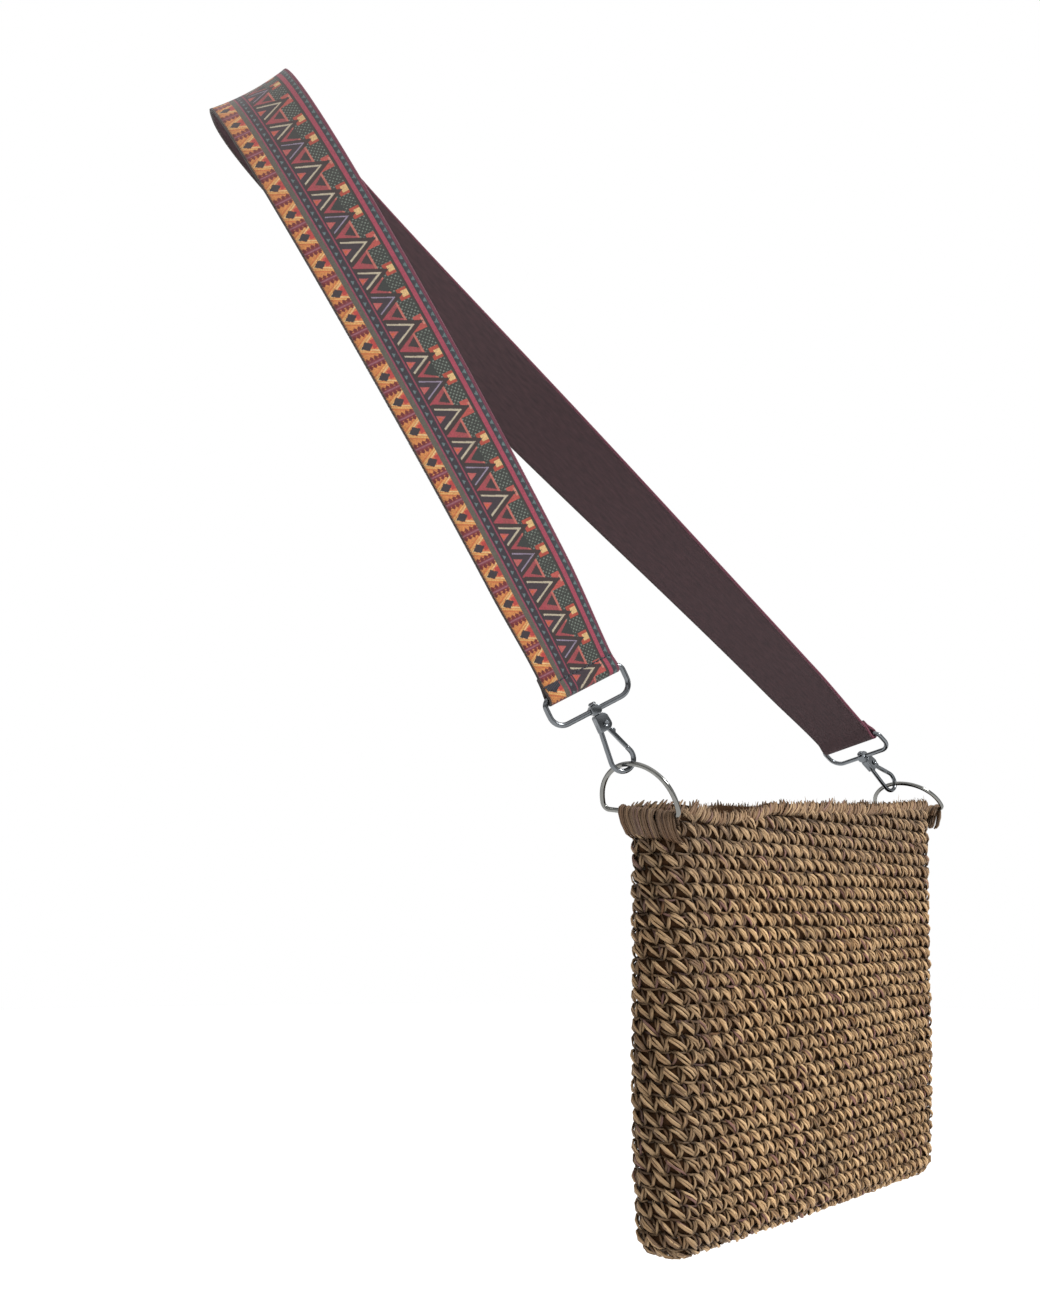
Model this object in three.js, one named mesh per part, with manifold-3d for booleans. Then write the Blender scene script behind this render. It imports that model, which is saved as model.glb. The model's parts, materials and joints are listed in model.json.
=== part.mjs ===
// Crochet raffia tote bag on a patterned webbing strap, in millimetres, +Z up.
// The origin is the underside of the strap's crown, where the strap hangs over a shoulder.
// The bag's width runs along X, its front face looks along -Y and its near end is at low X.

import * as THREE from 'three';
import { mergeVertices } from 'three/addons/utils/BufferGeometryUtils.js';
import Module from 'manifold-3d';

const wasm = await Module();
wasm.setup();

const { Vector3 } = THREE;

// Clearance between pieces that touch on the real bag
const gap = 0.35;
const seatGap = 0.5;

// Bag
const bagWidth = 364;
const bagHeight = 260;
const bagDepth = 38;
const bagWall = 5;
const bagCornerRadius = 14;
const baseEdgeRadius = 12;
const rimRound = 1.5;

// Place of the near D-ring's bar, measured from the strap's crown
const crownAboveRing = 436;
const crownBesideRing = 132.5;
const crownBehindRing = 195;

// Strap over the shoulder
const strapWidth = 51;
const strapThickness = 1.8;
const strapPinchedWidth = 47;
const strapPinchLength = 60;
const strapLoopSlack = 0.5;
const strapTailLength = 13;
const strapJoinLength = 9;
const crownHeading = 39;
const crownSlope = 29;
const crownDish = 2;
const nearCrownArm = 95;
const farCrownArm = 70;
const nearLegArm = 110;
const farLegArm = 200;

// Clasp: the way it leans from upright, and its turn about its own axis
const nearLeanOut = 25.5;
const nearLeanBack = 14;
const nearTurn = 15;
const farHookTurn = 90;

// D-rings
const dRingWire = 3.3;
const dRingInside = 50;
const dRingHeight = 31;
const dRingCorner = 4;
const dRingCornerTurn = 68;
const nearBarTilt = 8;
const nearBarShift = 5;
const ringSlide = 0.65;
const barBelowRim = 6;

// Raffia wound round a D-ring's bar
const wrapThickness = 1.7;
const wrapLength = 38;
const wrapShift = 3;
const wrapTurns = 9;
const wrapGroove = 0.8;

// Oval strap ring with its swivel collar
const ovalWire = 3.5;
const ovalInside = 49.5;
const ovalGap = 14;
const ovalTopCorner = 4.5;
const ovalLowCorner = 8;
const collarWidth = 6.4;
const collarHeight = 5.6;
const collarDepth = 6.4;
const postRadius = 1.4;
const postHeadRadius = 2.3;
const postHeadHeight = 1.6;
const postInBlock = 1.5;

// Hook, lever and rivet
const hookWire = 3.3;
const bightRadius = 7.2;
const bightDrop = 32.5;
const bightOffset = 2.4;
const legSlant = 7.6;
const gateSlant = 20;
const noseLength = 2.6;
const gateReach = 21.5;
const gateThickness = 2.3;
const gateWidth = 2.4;
const gateEyeRadius = 2.7;
const gateTabHeight = 1.2;
const gateTabShares = { start: 0.24, top: 0.28, turn: 0.36, end: 0.42 };
const rivetRadius = 1.1;
const rivetHeadRadius = 1.9;
const rivetHeadHeight = 0.7;
const blockThickness = 5.8;
const blockRadius = 3.6;
const blockEdge = 1;
const blockShoulderWidth = 2;
const blockShoulderInset = 0.5;
const blockHeelOut = 0.2;
const blockCornerShare = 0.7;

// Extra length of a shape that is cut away or joined, so that it passes right through
const cutExtra = 3;
const boreExtra = 2;
const joinOverlap = 0.5;

// Numbers of steps round and along the shapes
const bagFaceSteps = 14;
const bagCornerSteps = 4;
const bagEndSteps = 4;
const wireSides = 8;
const dRingCornerSteps = 3;
const dRingBowSteps = 22;
const ovalTopSteps = 4;
const ovalLowSteps = 5;
const bightSteps = 16;
const roundSteps = 16;
const legSteps = 22;
const acrossSteps = 4;

// Height of the rim above its lowest point, along the bag from the near end.
// along is a share of the bag's width and rise a share of its height.
const rimRows = [
  { along: 0.00, rise: 0.014 },
  { along: 0.12, rise: 0.000 },
  { along: 0.21, rise: 0.014 },
  { along: 0.31, rise: 0.040 },
  { along: 0.57, rise: 0.058 },
  { along: 1.00, rise: 0.098 },
];

// Levels of the bag. level is a share of the height, width of the bag's width,
// ends of its depth at the narrow ends, and belly of the depth, added mid-face.
const bagRows = [
  { level: 0.05, width: 0.985, ends: 1.00, belly: 0.10 },
  { level: 0.20, width: 0.995, ends: 1.03, belly: 0.26 },
  { level: 0.40, width: 1.000, ends: 1.04, belly: 0.36 },
  { level: 0.60, width: 1.000, ends: 1.02, belly: 0.32 },
  { level: 0.80, width: 1.000, ends: 1.00, belly: 0.20 },
  { level: 0.93, width: 1.000, ends: 1.00, belly: 0.10 },
  { level: 1.00, width: 1.000, ends: 1.00, belly: 0.06 },
];

const materials = {
  raffia: new THREE.MeshStandardMaterial({ color: 0x8a6a48, roughness: 0.85 }),
  nickel: new THREE.MeshStandardMaterial({ color: 0xb9b9b6, roughness: 0.3, metalness: 1 }),
  gunmetal: new THREE.MeshStandardMaterial({ color: 0x4a4d50, roughness: 0.35, metalness: 1 }),
  webbing: new THREE.MeshStandardMaterial({ color: 0x5a3334, roughness: 0.9 }),
};

const radians = THREE.MathUtils.degToRad;

// Interpolates one column of a table between the rows on either side
function tableValue(rows, key, column, where) {
  const last = rows.length - 1;
  if (where <= rows[0][key]) return rows[0][column];
  if (where >= rows[last][key]) return rows[last][column];
  const upper = rows.findIndex((row) => row[key] >= where);
  const from = rows[upper - 1];
  const to = rows[upper];
  const share = (where - from[key]) / (to[key] - from[key]);
  const smooth = share * share * (3 - 2 * share);
  return from[column] + (to[column] - from[column]) * smooth;
}

// Six times the volume that a triangle list encloses, negative when it faces inwards
function signedVolume(points, triangles) {
  const cross = new Vector3();
  return triangles.reduce((sum, [a, b, c]) => {
    cross.crossVectors(points[b], points[c]);
    return sum + points[a].dot(cross);
  }, 0);
}

// One closed body through rings of equal point counts, looped or capped at both ends
function loftGeometry(rings, looped = false) {
  const count = rings[0].length;
  const points = rings.flat();
  const triangles = [];
  const spans = looped ? rings.length : rings.length - 1;
  for (let i = 0; i < spans; i += 1) {
    const low = i * count;
    const high = ((i + 1) % rings.length) * count;
    for (let j = 0; j < count; j += 1) {
      const next = (j + 1) % count;
      triangles.push([low + j, low + next, high + next]);
      triangles.push([low + j, high + next, high + j]);
    }
  }
  if (!looped) {
    addCap(points, triangles, 0, count, true);
    addCap(points, triangles, (rings.length - 1) * count, count, false);
  }
  const facesOut = signedVolume(points, triangles) > 0;
  const order = facesOut ? triangles : triangles.map(([a, b, c]) => [a, c, b]);
  const geometry = new THREE.BufferGeometry();
  geometry.setFromPoints(points);
  geometry.setIndex(order.flat());
  return geometry;
}

// Fan that closes a ring of points round its middle
function addCap(points, triangles, start, count, reversed) {
  const middle = new Vector3();
  for (let j = 0; j < count; j += 1) middle.add(points[start + j]);
  middle.divideScalar(count);
  const centre = points.push(middle) - 1;
  for (let j = 0; j < count; j += 1) {
    const a = start + j;
    const b = start + ((j + 1) % count);
    triangles.push(reversed ? [centre, b, a] : [centre, a, b]);
  }
}

// Closed solid that can be joined with and cut by others
function solid(geometry) {
  const bare = geometry.clone();
  bare.deleteAttribute('normal');
  bare.deleteAttribute('uv');
  const merged = mergeVertices(bare, 1e-4);
  return new wasm.Manifold(new wasm.Mesh({
    numProp: 3,
    vertProperties: new Float32Array(merged.attributes.position.array),
    triVerts: new Uint32Array(merged.index.array),
  }));
}

function geometryOf(manifold) {
  const mesh = manifold.getMesh();
  const geometry = new THREE.BufferGeometry();
  geometry.setAttribute('position', new THREE.BufferAttribute(new Float32Array(mesh.vertProperties), 3));
  geometry.setIndex(new THREE.BufferAttribute(new Uint32Array(mesh.triVerts), 1));
  return geometry;
}

function joined(geometries) {
  return geometries.map(solid).reduce((whole, piece) => whole.add(piece));
}

// Points of an arc in the XZ plane, angles in degrees from +X towards +Z
function arcPoints(x, z, radius, from, to, steps) {
  const points = [];
  for (let i = 0; i <= steps; i += 1) {
    const angle = radians(from + ((to - from) * i) / steps);
    points.push(new Vector3(x + radius * Math.cos(angle), 0, z + radius * Math.sin(angle)));
  }
  return points;
}

// Round wire along a flat path in the XZ plane
function wireGeometry(path, diameter, looped) {
  const last = path.length - 1;
  const rings = path.map((point, i) => {
    const before = looped ? path[(i + last) % (last + 1)] : path[Math.max(i - 1, 0)];
    const after = looped ? path[(i + 1) % (last + 1)] : path[Math.min(i + 1, last)];
    const along = new Vector3().subVectors(after, before).normalize();
    const side = new Vector3(-along.z, 0, along.x);
    return Array.from({ length: wireSides }, (_, k) => {
      const angle = (2 * Math.PI * (k + 0.5)) / wireSides;
      const ringPoint = point.clone();
      ringPoint.addScaledVector(side, (diameter / 2) * Math.cos(angle));
      ringPoint.y += (diameter / 2) * Math.sin(angle);
      return ringPoint;
    });
  });
  return loftGeometry(rings, looped);
}

// Cylinder along Z between two heights
function uprightCylinder(radius, low, high, x = 0) {
  const geometry = new THREE.CylinderGeometry(radius, radius, high - low, roundSteps);
  geometry.rotateX(Math.PI / 2);
  geometry.translate(x, 0, (low + high) / 2);
  return geometry;
}

// Cylinder along Y about a point of the XZ plane
function crossCylinder(radius, length, x, z) {
  const geometry = new THREE.CylinderGeometry(radius, radius, length, roundSteps);
  geometry.translate(x, 0, z);
  return geometry;
}

function boxAt(width, depth, height, x, y, z) {
  const geometry = new THREE.BoxGeometry(width, depth, height);
  geometry.translate(x, y, z);
  return geometry;
}

// Plate in the XZ plane from an outline of [x, z] corners
function plate(outline, thickness) {
  const shape = new THREE.Shape(outline.map(([x, z]) => new THREE.Vector2(x, z)));
  const geometry = new THREE.ExtrudeGeometry(shape, { depth: thickness, bevelEnabled: false });
  geometry.rotateX(Math.PI / 2);
  geometry.translate(0, thickness / 2, 0);
  return geometry;
}

// The bag

function rimRise(x) {
  return bagHeight * tableValue(rimRows, 'along', 'rise', x / bagWidth + 0.5);
}

// Outline of the bag at one level, drawn in by inset on every side
function bagOutline(level, inset) {
  const halfWidth = (bagWidth * tableValue(bagRows, 'level', 'width', level)) / 2 - inset;
  const halfDepth = (bagDepth * tableValue(bagRows, 'level', 'ends', level)) / 2 - inset;
  const belly = (bagDepth * tableValue(bagRows, 'level', 'belly', level)) / 2;
  const corner = Math.max(bagCornerRadius - inset, bagCornerRadius / 5);
  const quarter = [];
  for (let i = 0; i < bagFaceSteps / 2; i += 1) {
    quarter.push([((halfWidth - corner) * 2 * i) / bagFaceSteps, halfDepth]);
  }
  for (let i = 0; i < bagCornerSteps; i += 1) {
    const angle = (Math.PI / 2) * (1 - i / bagCornerSteps);
    quarter.push([
      halfWidth - corner + corner * Math.cos(angle),
      halfDepth - corner + corner * Math.sin(angle),
    ]);
  }
  for (let i = 0; i < bagEndSteps / 2; i += 1) {
    quarter.push([halfWidth, (halfDepth - corner) * (1 - (2 * i) / bagEndSteps)]);
  }
  const crowned = quarter.map(([x, y]) => {
    const swell = belly * Math.cos((Math.PI * x) / (2 * halfWidth)) ** 2;
    return [x, y + swell * Math.min(y / halfDepth, 1)];
  });
  const right = crowned;
  const lowRight = crowned.slice(1).reverse().map(([x, y]) => [x, -y]);
  const half = [...right, [halfWidth, 0], ...lowRight];
  const left = half.map(([x, y]) => [-x, -y]);
  return [...half, ...left];
}

// Ring of points at a height above the base; lift is the share of the rim's rise taken
function bagRing(height, inset, lift) {
  const level = height / bagHeight;
  return bagOutline(level, inset).map(([x, y]) => new Vector3(x, y, height + lift * rimRise(x)));
}

function bagGeometry() {
  const rings = [];
  for (let i = 0; i <= bagCornerSteps; i += 1) {
    const angle = (Math.PI / 2) * (i / bagCornerSteps);
    const inset = baseEdgeRadius * (1 - Math.sin(angle));
    rings.push(bagRing(baseEdgeRadius * (1 - Math.cos(angle)), inset, 0));
  }
  const levels = bagRows.map((row) => row.level).filter((level) => level * bagHeight > baseEdgeRadius + 1);
  const lifts = levels.map((level) => level ** 3);
  levels.forEach((level, i) => rings.push(bagRing(level * bagHeight, 0, lifts[i])));
  rings.push(raised(bagRing(bagHeight, bagWall / 2, 1), rimRound));
  const floorRadius = Math.max(baseEdgeRadius - bagWall, 2);
  for (let i = levels.length - 1; i >= 0; i -= 1) {
    const height = Math.max(levels[i] * bagHeight, bagWall + floorRadius + 1);
    rings.push(bagRing(height, bagWall, lifts[i]));
  }
  rings.push(bagRing(bagWall + floorRadius, bagWall, 0));
  rings.push(bagRing(bagWall, bagWall + floorRadius, 0));
  return loftGeometry(rings);
}

function raised(ring, height) {
  ring.forEach((point) => { point.z += height; });
  return ring;
}

// D-rings and their raffia

const dRingHalf = (dRingInside + dRingWire) / 2;

// Angles round an arc in the XZ plane, from X towards Z
const arcRight = 0;
const arcTop = 90;
const arcLeft = 180;
const arcLow = -90;
const fullTurn = 360;

// D-ring with its bar along X through the origin and its bow above
function dRingGeometry() {
  const straight = dRingHalf - dRingCorner;
  const rightEnd = arcLow + dRingCornerTurn;
  const leftStart = arcLow - dRingCornerTurn;
  const path = arcPoints(straight, dRingCorner, dRingCorner, arcLow, rightEnd, dRingCornerSteps);
  for (let i = 0; i <= dRingBowSteps; i += 1) {
    const angle = (Math.PI * i) / dRingBowSteps;
    const rise = (dRingHeight - dRingCorner) * Math.sin(angle);
    path.push(new Vector3(dRingHalf * Math.cos(angle), 0, dRingCorner + rise));
  }
  path.push(...arcPoints(-straight, dRingCorner, dRingCorner, leftStart, arcLow, dRingCornerSteps));
  return wireGeometry(path, dRingWire, true);
}

const wrapRadius = dRingWire / 2 + gap + wrapThickness;

// Ribbed sleeve of wound raffia round the bar, along X
function wrapGeometry() {
  const bore = dRingWire / 2 + gap;
  const turn = wrapLength / wrapTurns;
  const profile = [new THREE.Vector2(bore, -wrapLength / 2)];
  for (let i = 0; i < wrapTurns; i += 1) {
    const start = -wrapLength / 2 + i * turn;
    profile.push(new THREE.Vector2(wrapRadius - wrapGroove, start));
    profile.push(new THREE.Vector2(wrapRadius, start + turn / 2));
  }
  profile.push(new THREE.Vector2(wrapRadius - wrapGroove, wrapLength / 2));
  profile.push(new THREE.Vector2(bore, wrapLength / 2));
  profile.push(profile[0].clone());
  const geometry = new THREE.LatheGeometry(profile, roundSteps);
  geometry.rotateZ(-Math.PI / 2);
  geometry.translate(wrapShift, 0, 0);
  return geometryOf(solid(geometry));
}

// Clasp pieces, with the collar's middle at the origin, the axis up Z and the strap's width along X

const ovalHalf = (ovalInside + ovalWire) / 2;
const ovalTop = ovalGap + ovalWire;

function ovalRingPath() {
  const topX = ovalHalf - ovalTopCorner;
  const topZ = ovalTop - ovalTopCorner;
  const lowX = ovalHalf - ovalLowCorner;
  const lowZ = ovalLowCorner;
  return [
    ...arcPoints(topX, topZ, ovalTopCorner, arcTop, arcRight, ovalTopSteps),
    ...arcPoints(lowX, lowZ, ovalLowCorner, arcRight, arcLow, ovalLowSteps),
    ...arcPoints(-lowX, lowZ, ovalLowCorner, arcLow, -arcLeft, ovalLowSteps),
    ...arcPoints(-topX, topZ, ovalTopCorner, -arcLeft, arcTop - fullTurn, ovalTopSteps),
  ];
}

function ringWithCollar() {
  const wire = solid(wireGeometry(ovalRingPath(), ovalWire, true));
  return wire.add(solid(collarBlock()));
}

function collarBlock() {
  const half = collarWidth / 2;
  const chamfer = collarWidth / 5;
  const top = collarHeight / 2;
  return plate([
    [-half, -top + chamfer], [-half + chamfer, -top], [half - chamfer, -top], [half, -top + chamfer],
    [half, top - chamfer], [half - chamfer, top], [-half + chamfer, top], [-half, top - chamfer],
  ], collarDepth);
}

function strapRingGeometry() {
  const bore = uprightCylinder(postRadius + gap, -collarHeight, collarHeight);
  return geometryOf(ringWithCollar().subtract(solid(bore)));
}

const bightCentre = new Vector3(bightOffset, 0, -bightDrop);
const noseStart = new Vector3(
  bightCentre.x + bightRadius * Math.cos(radians(gateSlant)),
  0,
  bightCentre.z + bightRadius * Math.sin(radians(gateSlant)),
);
const gateAlong = new Vector3(-Math.sin(radians(gateSlant)), 0, Math.cos(radians(gateSlant)));
const rivetAt = noseStart.clone().addScaledVector(gateAlong, gateReach);
const noseTip = noseStart.clone().addScaledVector(gateAlong, noseLength);
const blockTop = -collarHeight / 2 - gap;

// Centre line of the hook from the top of its leg, round the bight and up to the nose
function hookPath() {
  const start = arcLeft - legSlant;
  const end = fullTurn + gateSlant;
  const arc = arcPoints(bightCentre.x, bightCentre.z, bightRadius, start, end, bightSteps);
  const legRise = blockTop - hookWire - arc[0].z;
  const legTop = arc[0].clone();
  legTop.x += legRise * Math.tan(radians(legSlant));
  legTop.z += legRise;
  return [legTop, ...arc, noseTip.clone()];
}

// Block that carries the leg, the lever's rivet and the swivel post
function hookBlock() {
  const leg = hookPath()[0];
  const left = leg.x - hookWire / 2;
  const right = rivetAt.x + blockRadius;
  const low = rivetAt.z - blockRadius;
  const cornerX = rivetAt.x + blockRadius * blockCornerShare;
  const cornerZ = rivetAt.z - blockRadius * blockCornerShare;
  return plate([
    [left, blockTop - blockEdge], [left + blockEdge, blockTop],
    [right - blockShoulderWidth, blockTop],
    [right - blockShoulderInset, blockTop - blockShoulderWidth],
    [right, rivetAt.z], [cornerX, cornerZ],
    [rivetAt.x, low], [left - blockHeelOut, low],
  ], blockThickness);
}

function postGeometry() {
  const headLow = collarHeight / 2 + gap;
  const post = solid(uprightCylinder(postRadius, blockTop - postInBlock, headLow + joinOverlap));
  return post.add(solid(uprightCylinder(postHeadRadius, headLow, headLow + postHeadHeight)));
}

function hookGeometry() {
  const body = joined([wireGeometry(hookPath(), hookWire, false), hookBlock()]).add(postGeometry());
  const slotDepth = gateThickness + 2 * gap;
  const slotHalf = gateEyeRadius + gap;
  const slotLow = rivetAt.z - blockRadius - cutExtra;
  const slotHigh = rivetAt.z + slotHalf;
  const slotLeft = rivetAt.x - slotHalf;
  const slotRight = rivetAt.x + blockRadius + cutExtra;
  const slot = boxAt(
    slotRight - slotLeft, slotDepth, slotHigh - slotLow,
    (slotLeft + slotRight) / 2, 0, (slotLow + slotHigh) / 2,
  );
  const bore = crossCylinder(rivetRadius + gap, blockThickness + boreExtra, rivetAt.x, rivetAt.z);
  return geometryOf(body.subtract(solid(slot)).subtract(solid(bore)));
}

// Lever about the rivet at the origin, hanging down -Z until turned to the nose
function gateGeometry() {
  const length = gateReach - noseLength - gap;
  const half = gateWidth / 2;
  const tab = gateTabShares;
  const bar = plate([
    [-half, 0], [-half, -length], [half, -length], [half, -length * tab.end],
    [half + gateTabHeight, -length * tab.turn], [half + gateTabHeight, -length * tab.top],
    [half, -length * tab.start], [half, 0],
  ], gateThickness);
  const eye = crossCylinder(gateEyeRadius, gateThickness, 0, 0);
  const bore = crossCylinder(rivetRadius + gap, gateThickness + boreExtra, 0, 0);
  return geometryOf(joined([bar, eye]).subtract(solid(bore)));
}

function rivetGeometry() {
  const headAt = blockThickness / 2 + gap + rivetHeadHeight / 2;
  const heads = [-1, 1].map((side) => {
    const head = crossCylinder(rivetHeadRadius, rivetHeadHeight, 0, 0);
    head.translate(0, side * headAt, 0);
    return head;
  });
  const shank = crossCylinder(rivetRadius, 2 * headAt, 0, 0);
  return geometryOf(joined([shank, ...heads]));
}

// The far clasp is one plain piece: ring, collar and a closed hook, swivelled across the ring
function farClaspGeometry() {
  const hookLoop = [...hookPath(), rivetAt];
  const hookParts = [wireGeometry(hookLoop, hookWire, true), hookBlock()];
  hookParts.forEach((geometry) => geometry.rotateZ(radians(farHookTurn)));
  const neck = uprightCylinder(postRadius, blockTop - hookWire, 0);
  return geometryOf(ringWithCollar().add(joined([...hookParts, neck])));
}

// Places of the bag, rings and clasps

const nearEnd = -1;
const farEnd = 1;
const barOffset = wrapRadius + gap;
const bagCentre = new Vector3(
  crownBesideRing + barOffset + bagWidth / 2,
  -crownBehindRing - nearBarShift,
  -crownAboveRing + barBelowRim - rimRise(-bagWidth / 2) - bagHeight,
);

function barMiddle(end) {
  const x = end * (bagWidth / 2 + barOffset);
  const y = end === nearEnd ? nearBarShift : 0;
  const z = bagHeight + rimRise((end * bagWidth) / 2) - barBelowRim;
  return new Vector3(x, y, z).add(bagCentre);
}

// Axes from a direction up and one across, the width direction turned about the axis
function frameFrom(up, across, turn) {
  const axis = up.clone().normalize();
  const wide = across.clone().addScaledVector(axis, -across.dot(axis)).normalize();
  wide.applyAxisAngle(axis, radians(turn));
  const back = new Vector3().crossVectors(axis, wide);
  return { axis, wide, back, matrix: new THREE.Matrix4().makeBasis(wide, back, axis) };
}

// D-ring frame: its bow stands up the way that the clasp pulls it
function dRingFrame(pull, barAlong) {
  return frameFrom(pull, barAlong, 0);
}

// A clasp's place from the D-ring that it holds, its hook swivelled by hookTurn.
// The hook slides along the bow, most of the way to where its pull is square to the wire.
function claspPlace(end, pull, across, turn, hookTurn, barTilt) {
  const bar = new Vector3(0, -Math.cos(radians(barTilt)), -Math.sin(radians(barTilt)));
  const level = pull.clone().addScaledVector(bar, -pull.dot(bar));
  const ring = dRingFrame(level, bar);
  const ringAt = barMiddle(end);
  const frame = frameFrom(pull, across, turn);
  const slide = ringSlide * frame.axis.dot(bar);
  const bow = ringAt.clone().addScaledVector(bar, dRingHalf * slide);
  bow.addScaledVector(ring.axis, dRingCorner + (dRingHeight - dRingCorner) * Math.sqrt(1 - slide * slide));
  const seat = bightCentre.z - bightRadius + (hookWire + dRingWire) / 2 + seatGap;
  const at = bow.clone();
  at.addScaledVector(frame.axis, -seat);
  at.addScaledVector(frame.wide, -bightOffset * Math.cos(radians(hookTurn)));
  at.addScaledVector(frame.back, -bightOffset * Math.sin(radians(hookTurn)));
  return { ring, ringAt, frame, at };
}

const heading = radians(crownHeading);
const crownAlong = new Vector3(Math.cos(heading), Math.sin(heading), 0);
const crownAcross = new Vector3(
  Math.sin(heading) * Math.cos(radians(crownSlope)),
  -Math.cos(heading) * Math.cos(radians(crownSlope)),
  Math.sin(radians(crownSlope)),
);
const crownOut = new Vector3().crossVectors(crownAcross, crownAlong);
const crownAt = crownOut.clone().multiplyScalar(strapThickness / 2 + crownDish);

const nearPull = new Vector3(
  -Math.tan(radians(nearLeanOut)),
  Math.tan(radians(nearLeanBack)),
  1,
);
const near = claspPlace(nearEnd, nearPull, crownAcross, nearTurn, 0, nearBarTilt);
const farPull = new Vector3().subVectors(crownAt, barMiddle(farEnd));
const far = claspPlace(farEnd, farPull, new Vector3(0, -1, 0), 0, farHookTurn, 0);

// Middle of the ring's bar that the strap is folded round
function foldBar(place) {
  return place.at.clone().addScaledVector(place.frame.axis, ovalTop);
}

// The strap

const foldRadius = ovalWire / 2 + strapLoopSlack + strapThickness / 2;
const plyOffset = (strapThickness + gap) / 2;

// Distance of the folded webbing from the fold's middle plane, at a height above the ring's bar
function plyAt(height) {
  const share = Math.min(height / strapJoinLength, 1);
  return plyOffset + ((foldRadius - plyOffset) * (1 + Math.cos(Math.PI * share))) / 2;
}

// Fold round the bar, from the end of the tail to the joined webbing, as [out, up] pairs
function foldPath() {
  const path = [];
  const tailSteps = 5;
  for (let i = 0; i < tailSteps; i += 1) {
    const height = strapTailLength * (1 - i / tailSteps);
    path.push([-plyAt(height), height]);
  }
  const foldSteps = 8;
  for (let i = 0; i <= foldSteps; i += 1) {
    const angle = Math.PI + (Math.PI * i) / foldSteps;
    path.push([foldRadius * Math.cos(angle), foldRadius * Math.sin(angle)]);
  }
  const joinSteps = 4;
  for (let i = 1; i <= joinSteps; i += 1) {
    const height = (strapJoinLength * i) / joinSteps;
    path.push([plyAt(height), height]);
  }
  return path;
}

// Stations of a folded end; out is the side of the webbing's face
function foldStations(place) {
  const { axis, wide } = place.frame;
  const out = new Vector3().crossVectors(wide, axis);
  const bar = foldBar(place);
  return foldPath().map(([outwards, up]) => ({
    at: bar.clone().addScaledVector(out, outwards).addScaledVector(axis, up),
    across: wide,
    width: strapPinchedWidth,
    dish: 0,
  }));
}

// Stations of one leg from its clasp to the crown
function legStations(place, endAlong) {
  const fold = foldStations(place);
  const foot = fold[fold.length - 1].at;
  const legArm = place === near ? nearLegArm : farLegArm;
  const crownArm = place === near ? nearCrownArm : farCrownArm;
  const curve = new THREE.CubicBezierCurve3(
    foot,
    foot.clone().addScaledVector(place.frame.axis, legArm),
    crownAt.clone().addScaledVector(endAlong, -crownArm),
    crownAt,
  );
  const reach = curve.getLength();
  const leg = [];
  for (let i = 1; i <= legSteps; i += 1) {
    const share = i / legSteps;
    const run = share * reach;
    const turned = THREE.MathUtils.smoothstep(share, 0, 1);
    const full = THREE.MathUtils.smoothstep(run, 0, strapPinchLength);
    leg.push({
      at: curve.getPointAt(share),
      across: place.frame.wide.clone().lerp(crownAcross, turned).normalize(),
      width: strapPinchedWidth + (strapWidth - strapPinchedWidth) * full,
      dish: crownDish * THREE.MathUtils.smoothstep(share, 0.6, 1),
    });
  }
  return [...fold, ...leg];
}

function strapStations() {
  const nearLeg = legStations(near, crownAlong);
  const farLeg = legStations(far, crownAlong.clone().negate());
  farLeg.pop();
  return [...nearLeg, ...farLeg.reverse()];
}

// Cross-section of the webbing at one station, its edges lifted by the dish
function strapRing(stations, i) {
  const station = stations[i];
  const before = stations[Math.max(i - 1, 0)].at;
  const after = stations[Math.min(i + 1, stations.length - 1)].at;
  const along = new Vector3().subVectors(after, before).normalize();
  const across = station.across.clone();
  across.addScaledVector(along, -across.dot(along)).normalize();
  const out = new Vector3().crossVectors(across, along);
  const face = [];
  const back = [];
  for (let k = 0; k <= acrossSteps; k += 1) {
    const share = (2 * k) / acrossSteps - 1;
    const middle = station.at.clone().addScaledVector(across, (share * station.width) / 2);
    middle.addScaledVector(out, station.dish * (share * share - 1));
    face.push(middle.clone().addScaledVector(out, strapThickness / 2));
    back.push(middle.clone().addScaledVector(out, -strapThickness / 2));
  }
  return [...face, ...back.reverse()];
}

function strapGeometry() {
  const stations = strapStations();
  return loftGeometry(stations.map((_, i) => strapRing(stations, i)));
}

// The whole bag

const tote = new THREE.Group();

function addPiece(parent, name, geometry, material, place = new THREE.Matrix4()) {
  const mesh = new THREE.Mesh(geometry, material);
  mesh.name = name;
  mesh.applyMatrix4(place);
  parent.add(mesh);
}

function placedGroup(frame, at) {
  const group = new THREE.Group();
  group.applyMatrix4(new THREE.Matrix4().copy(frame.matrix).setPosition(at));
  tote.add(group);
  return group;
}

const bag = new THREE.Group();
bag.position.copy(bagCentre);
tote.add(bag);
addPiece(bag, 'bag_body', bagGeometry(), materials.raffia);

[[near, 'near'], [far, 'far']].forEach(([place, side]) => {
  const ringGroup = placedGroup(place.ring, place.ringAt);
  addPiece(ringGroup, `d_ring_${side}`, dRingGeometry(), materials.nickel);
  addPiece(ringGroup, `raffia_wrap_${side}`, wrapGeometry(), materials.raffia);
});

const clasp = placedGroup(near.frame, near.at);
const leverPlace = new THREE.Matrix4().makeRotationY(-radians(gateSlant)).setPosition(rivetAt);
addPiece(clasp, 'strap_ring_near', strapRingGeometry(), materials.gunmetal);
addPiece(clasp, 'hook_near', hookGeometry(), materials.gunmetal);
addPiece(clasp, 'gate_near', gateGeometry(), materials.gunmetal, leverPlace);
addPiece(clasp, 'gate_rivet_near', rivetGeometry(), materials.gunmetal, leverPlace);
addPiece(placedGroup(far.frame, far.at), 'clasp_far', farClaspGeometry(), materials.gunmetal);
addPiece(tote, 'strap', strapGeometry(), materials.webbing);

export default tote;
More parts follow.
